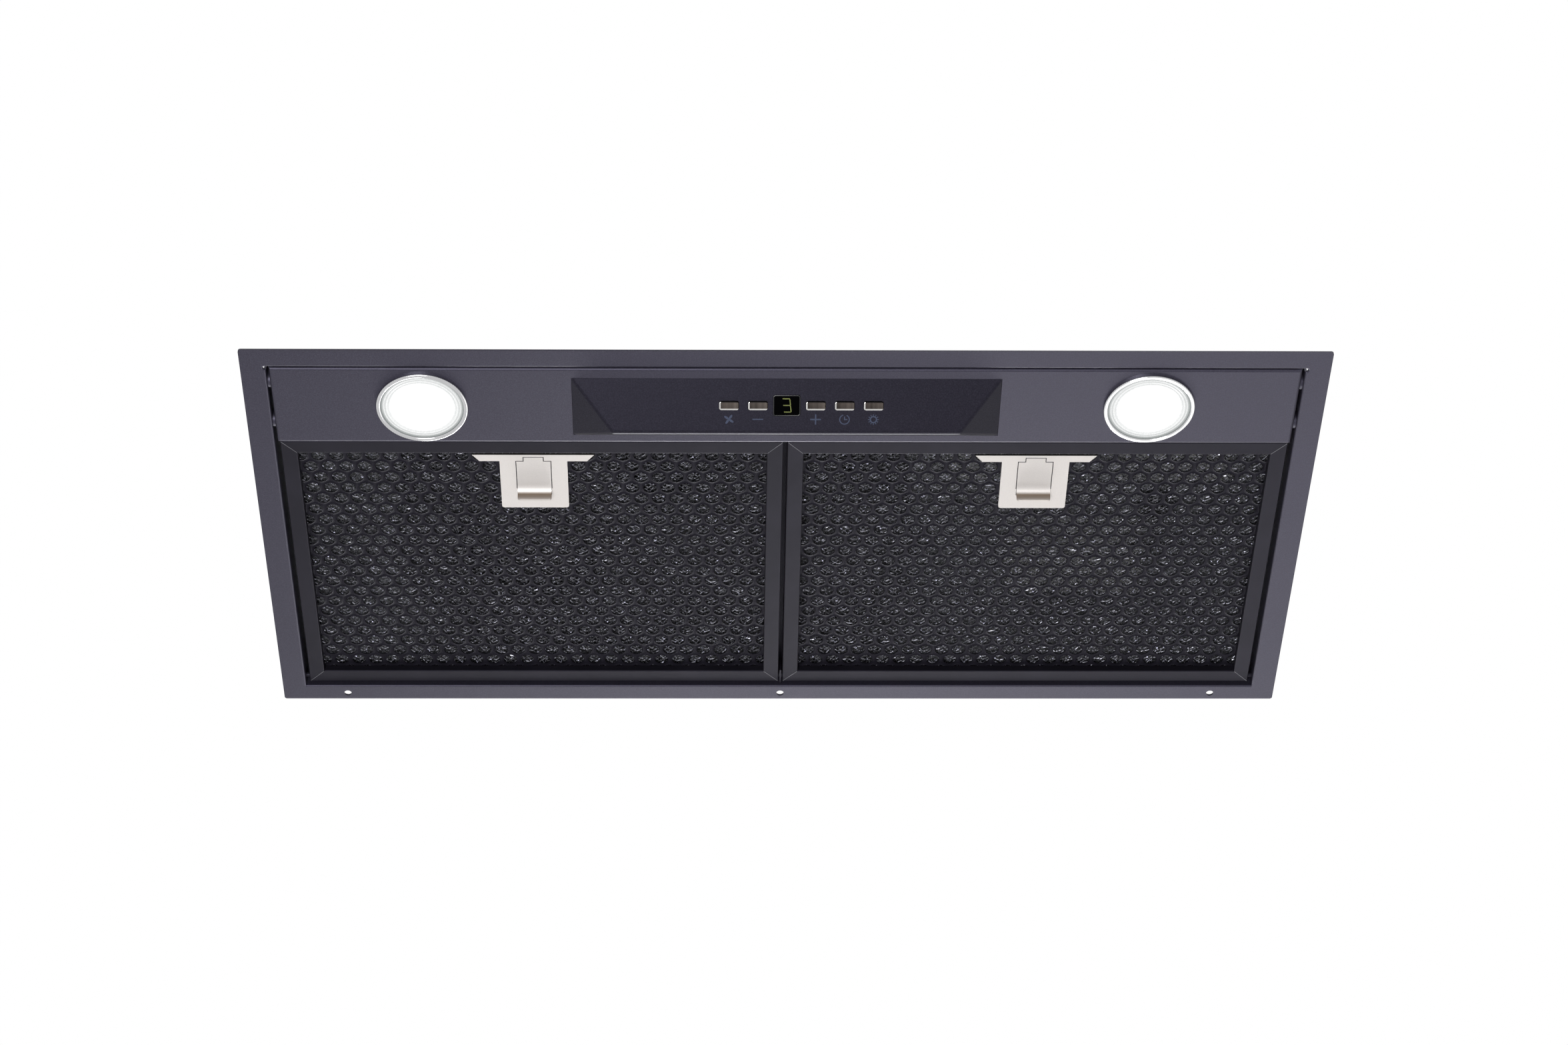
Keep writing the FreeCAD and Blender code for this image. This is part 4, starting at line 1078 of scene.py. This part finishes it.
def collar_rivets():
    casing = settings().casing
    low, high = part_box("duct_collar")
    reach = (high.x - low.x - casing.flange_width) / 2
    centre = Vector(((low.x + high.x) / 2, (low.y + high.y) / 2, low.z + casing.flange_gauge))
    step = 2.0 * math.pi / casing.flange_rivets
    places = [centre + spoke(step * (turn + 0.5)) * reach for turn in range(casing.flange_rivets)]
    rivet_row("collar_rivets", places, upward)


# Stage
def set_floor():
    stage = settings().stage
    bm = bmesh.new()
    bmesh.ops.create_grid(bm, x_segments=4, y_segments=4, size=stage.floor_size)
    bmesh.ops.translate(bm, verts=bm.verts, vec=upward * -stage.floor_drop)
    linked("floor", bm, pale_floor())


def set_world():
    ambient = settings().stage.ambient
    world = bpy.data.worlds.new("studio")
    bpy.context.scene.world = world
    shop = NodeShop(world)
    strength = ambient + shop.backdrop_rays() * (1.0 - ambient)
    back = shop.node("ShaderNodeBackground", {}, {"Color": (1.0, 1.0, 1.0), "Strength": strength})
    shop.node("ShaderNodeOutputWorld", {}, {"Surface": back})


def softbox(name, place, size, watts):
    """A round area light that faces the origin"""
    lamp = bpy.data.lights.new(name, "AREA")
    lamp.shape = "DISK"
    lamp.size = size
    lamp.energy = watts
    light = bpy.data.objects.new(name, lamp)
    light.location = place
    light.rotation_euler = (-Vector(place)).to_track_quat("-Z", "Y").to_euler()
    bpy.context.scene.collection.objects.link(light)


def set_lights():
    stage = settings().stage
    softbox("rear_softbox", (0.6, 1.7, -1.6), 1.4, stage.rear_power)
    softbox("ridge_softbox", (0.0, 2.4, -0.5), 1.0, stage.ridge_power)
    softbox("front_softbox", (-0.5, -1.3, -2.0), 1.2, stage.front_power)
    softbox("top_softbox", (0.8, -0.9, 2.2), 1.6, stage.top_power)


def set_camera():
    stage = settings().stage
    ahead = Vector(stage.ahead).normalized()
    right = Vector(stage.right).normalized()
    turn = Matrix((right, right.cross(ahead), -ahead)).transposed().to_4x4()
    data = bpy.data.cameras.new("camera")
    data.sensor_fit = "HORIZONTAL"
    data.sensor_width = stage.sensor
    data.lens = stage.lens
    data.clip_start = 0.05
    data.clip_end = 100.0
    camera = bpy.data.objects.new("camera", data)
    camera.matrix_world = Matrix.Translation(stage.eye) @ turn
    bpy.context.scene.collection.objects.link(camera)
    bpy.context.scene.camera = camera


# Steps that the panel lists
class HOOD_OT_shell(bpy.types.Operator):
    """Paint the rim and the lamp panel, and the control housing with a copy of that paint darkened as
    painted shade
    """
    bl_idname = "hood.shell"
    bl_label = "Painted shell"

    def execute(self, context):
        dress(speckled_paint(), "canopy_rim", "lamp_panel")
        dress(housing_paint(), "control_housing")
        return {"FINISHED"}


class HOOD_OT_controls(bpy.types.Operator):
    """Finish the buttons and the display and print their marks"""
    bl_idname = "hood.controls"
    bl_label = "Controls"

    def execute(self, context):
        dress(button_chrome(), *["button_" + name for name in button_names])
        dress(display_black(), "display_window")
        dress(green_board(), "control_board")
        dress(black_plastic(), "tact_switches", "display_module")
        control_marks()
        display_digit()
        display_surround()
        return {"FINISHED"}


class HOOD_OT_lamps(bpy.types.Operator):
    """Make the lit lenses and finish the lamp bodies"""
    bl_idname = "hood.lamps"
    bl_label = "Lamps"

    def execute(self, context):
        dress(polished_chrome(), *both("lamp_bezel"))
        dress(cast_aluminium(), *both("lamp_can"))
        dress(black_plastic(), *both("lamp_nut"))
        for side in sides:
            ridged_lens(side)
        return {"FINISHED"}


class HOOD_OT_filters(bpy.types.Operator):
    """Make the perforated sheets, the mesh and its grid and finish the frames"""
    bl_idname = "hood.filters"
    bl_label = "Filters"

    def execute(self, context):
        dress(satin_black(), "centre_rail", *both("filter_frame", "pivot_pins"))
        for side in sides:
            perforated_sheet(side)
            crinkled_mesh(side)
            back_grid(side)
            mitre_edges(side)
        return {"FINISHED"}


class HOOD_OT_latches(bpy.types.Operator):
    """Finish the filter latches and make the painted shadows round their slots and their springs"""
    bl_idname = "hood.latches"
    bl_label = "Latches"

    def execute(self, context):
        dress(blasted_steel(), *both("latch_plate", "latch_slider"))
        for side in sides:
            slot_edges(side)
            folded_spring(side)
        return {"FINISHED"}


class HOOD_OT_casing(bpy.types.Operator):
    """Finish the upper casing and rivet its seams"""
    bl_idname = "hood.casing"
    bl_label = "Casing"

    def execute(self, context):
        dress(zinc_sheet(), "plenum_wrapper", *both("plenum_end"))
        casing_rivets()
        return {"FINISHED"}


class HOOD_OT_blower(bpy.types.Operator):
    """Finish the blower inside the casing"""
    bl_idname = "hood.blower"
    bl_label = "Blower"

    def execute(self, context):
        # Dark plastic: a darker tone of their grey moulding that also stands as painted shade for the
        # casing's inside seen through the filters
        dress(dark_plastic(), "scroll_housing", "floor_plate")
        dress(black_plastic(), "impeller")
        dress(plated_steel(), "motor_shaft", "motor", "motor_bracket")
        dress(white_plastic(), "capacitor")
        return {"FINISHED"}


class HOOD_OT_outlet(bpy.types.Operator):
    """Finish the duct collar and its flaps and rivet its flange"""
    bl_idname = "hood.outlet"
    bl_label = "Outlet"

    def execute(self, context):
        dress(black_plastic(), "duct_collar")
        dress(grey_plastic(), "damper_flap_front", "damper_flap_rear")
        dress(plated_steel(), "damper_pin")
        collar_rivets()
        return {"FINISHED"}


class HOOD_OT_supply(bpy.types.Operator):
    """Finish the supply parts"""
    bl_idname = "hood.supply"
    bl_label = "Supply"

    def execute(self, context):
        dress(white_plastic(), "terminal_box", "terminal_lid", "led_driver")
        dress(black_plastic(), "cable_gland")
        return {"FINISHED"}


class HOOD_OT_stage(bpy.types.Operator):
    """Set the floor, the light and the camera"""
    bl_idname = "hood.stage"
    bl_label = "Stage"

    def execute(self, context):
        context.scene.view_settings.view_transform = "Standard"
        set_floor()
        set_world()
        set_lights()
        set_camera()
        return {"FINISHED"}


class HOOD_PT_panel(bpy.types.Panel):
    """Lists the steps that dress the hood"""
    bl_idname = "HOOD_PT_panel"
    bl_label = "Range hood"
    bl_space_type = "VIEW_3D"
    bl_region_type = "UI"
    bl_category = "Hood"

    def draw(self, context):
        for step in steps:
            self.layout.operator(step.bl_idname)


groups = (HoodPaintSettings, HoodFilterSettings, HoodLatchSettings, HoodLampSettings, HoodControlSettings,
          HoodCasingSettings, HoodStageSettings, HoodSettings)
steps = (HOOD_OT_shell, HOOD_OT_controls, HOOD_OT_lamps, HOOD_OT_filters, HOOD_OT_latches, HOOD_OT_casing,
         HOOD_OT_blower, HOOD_OT_outlet, HOOD_OT_supply, HOOD_OT_stage)


def register():
    for made in (*groups, *steps, HOOD_PT_panel):
        bpy.utils.register_class(made)
    bpy.types.Scene.hood = PointerProperty(type=HoodSettings)


def unregister():
    del bpy.types.Scene.hood
    for made in reversed((*groups, *steps, HOOD_PT_panel)):
        bpy.utils.unregister_class(made)


def main():
    register()
    for step in steps:
        area, name = step.bl_idname.split(".")
        getattr(getattr(bpy.ops, area), name)()


if __name__ == "__main__":
    main()
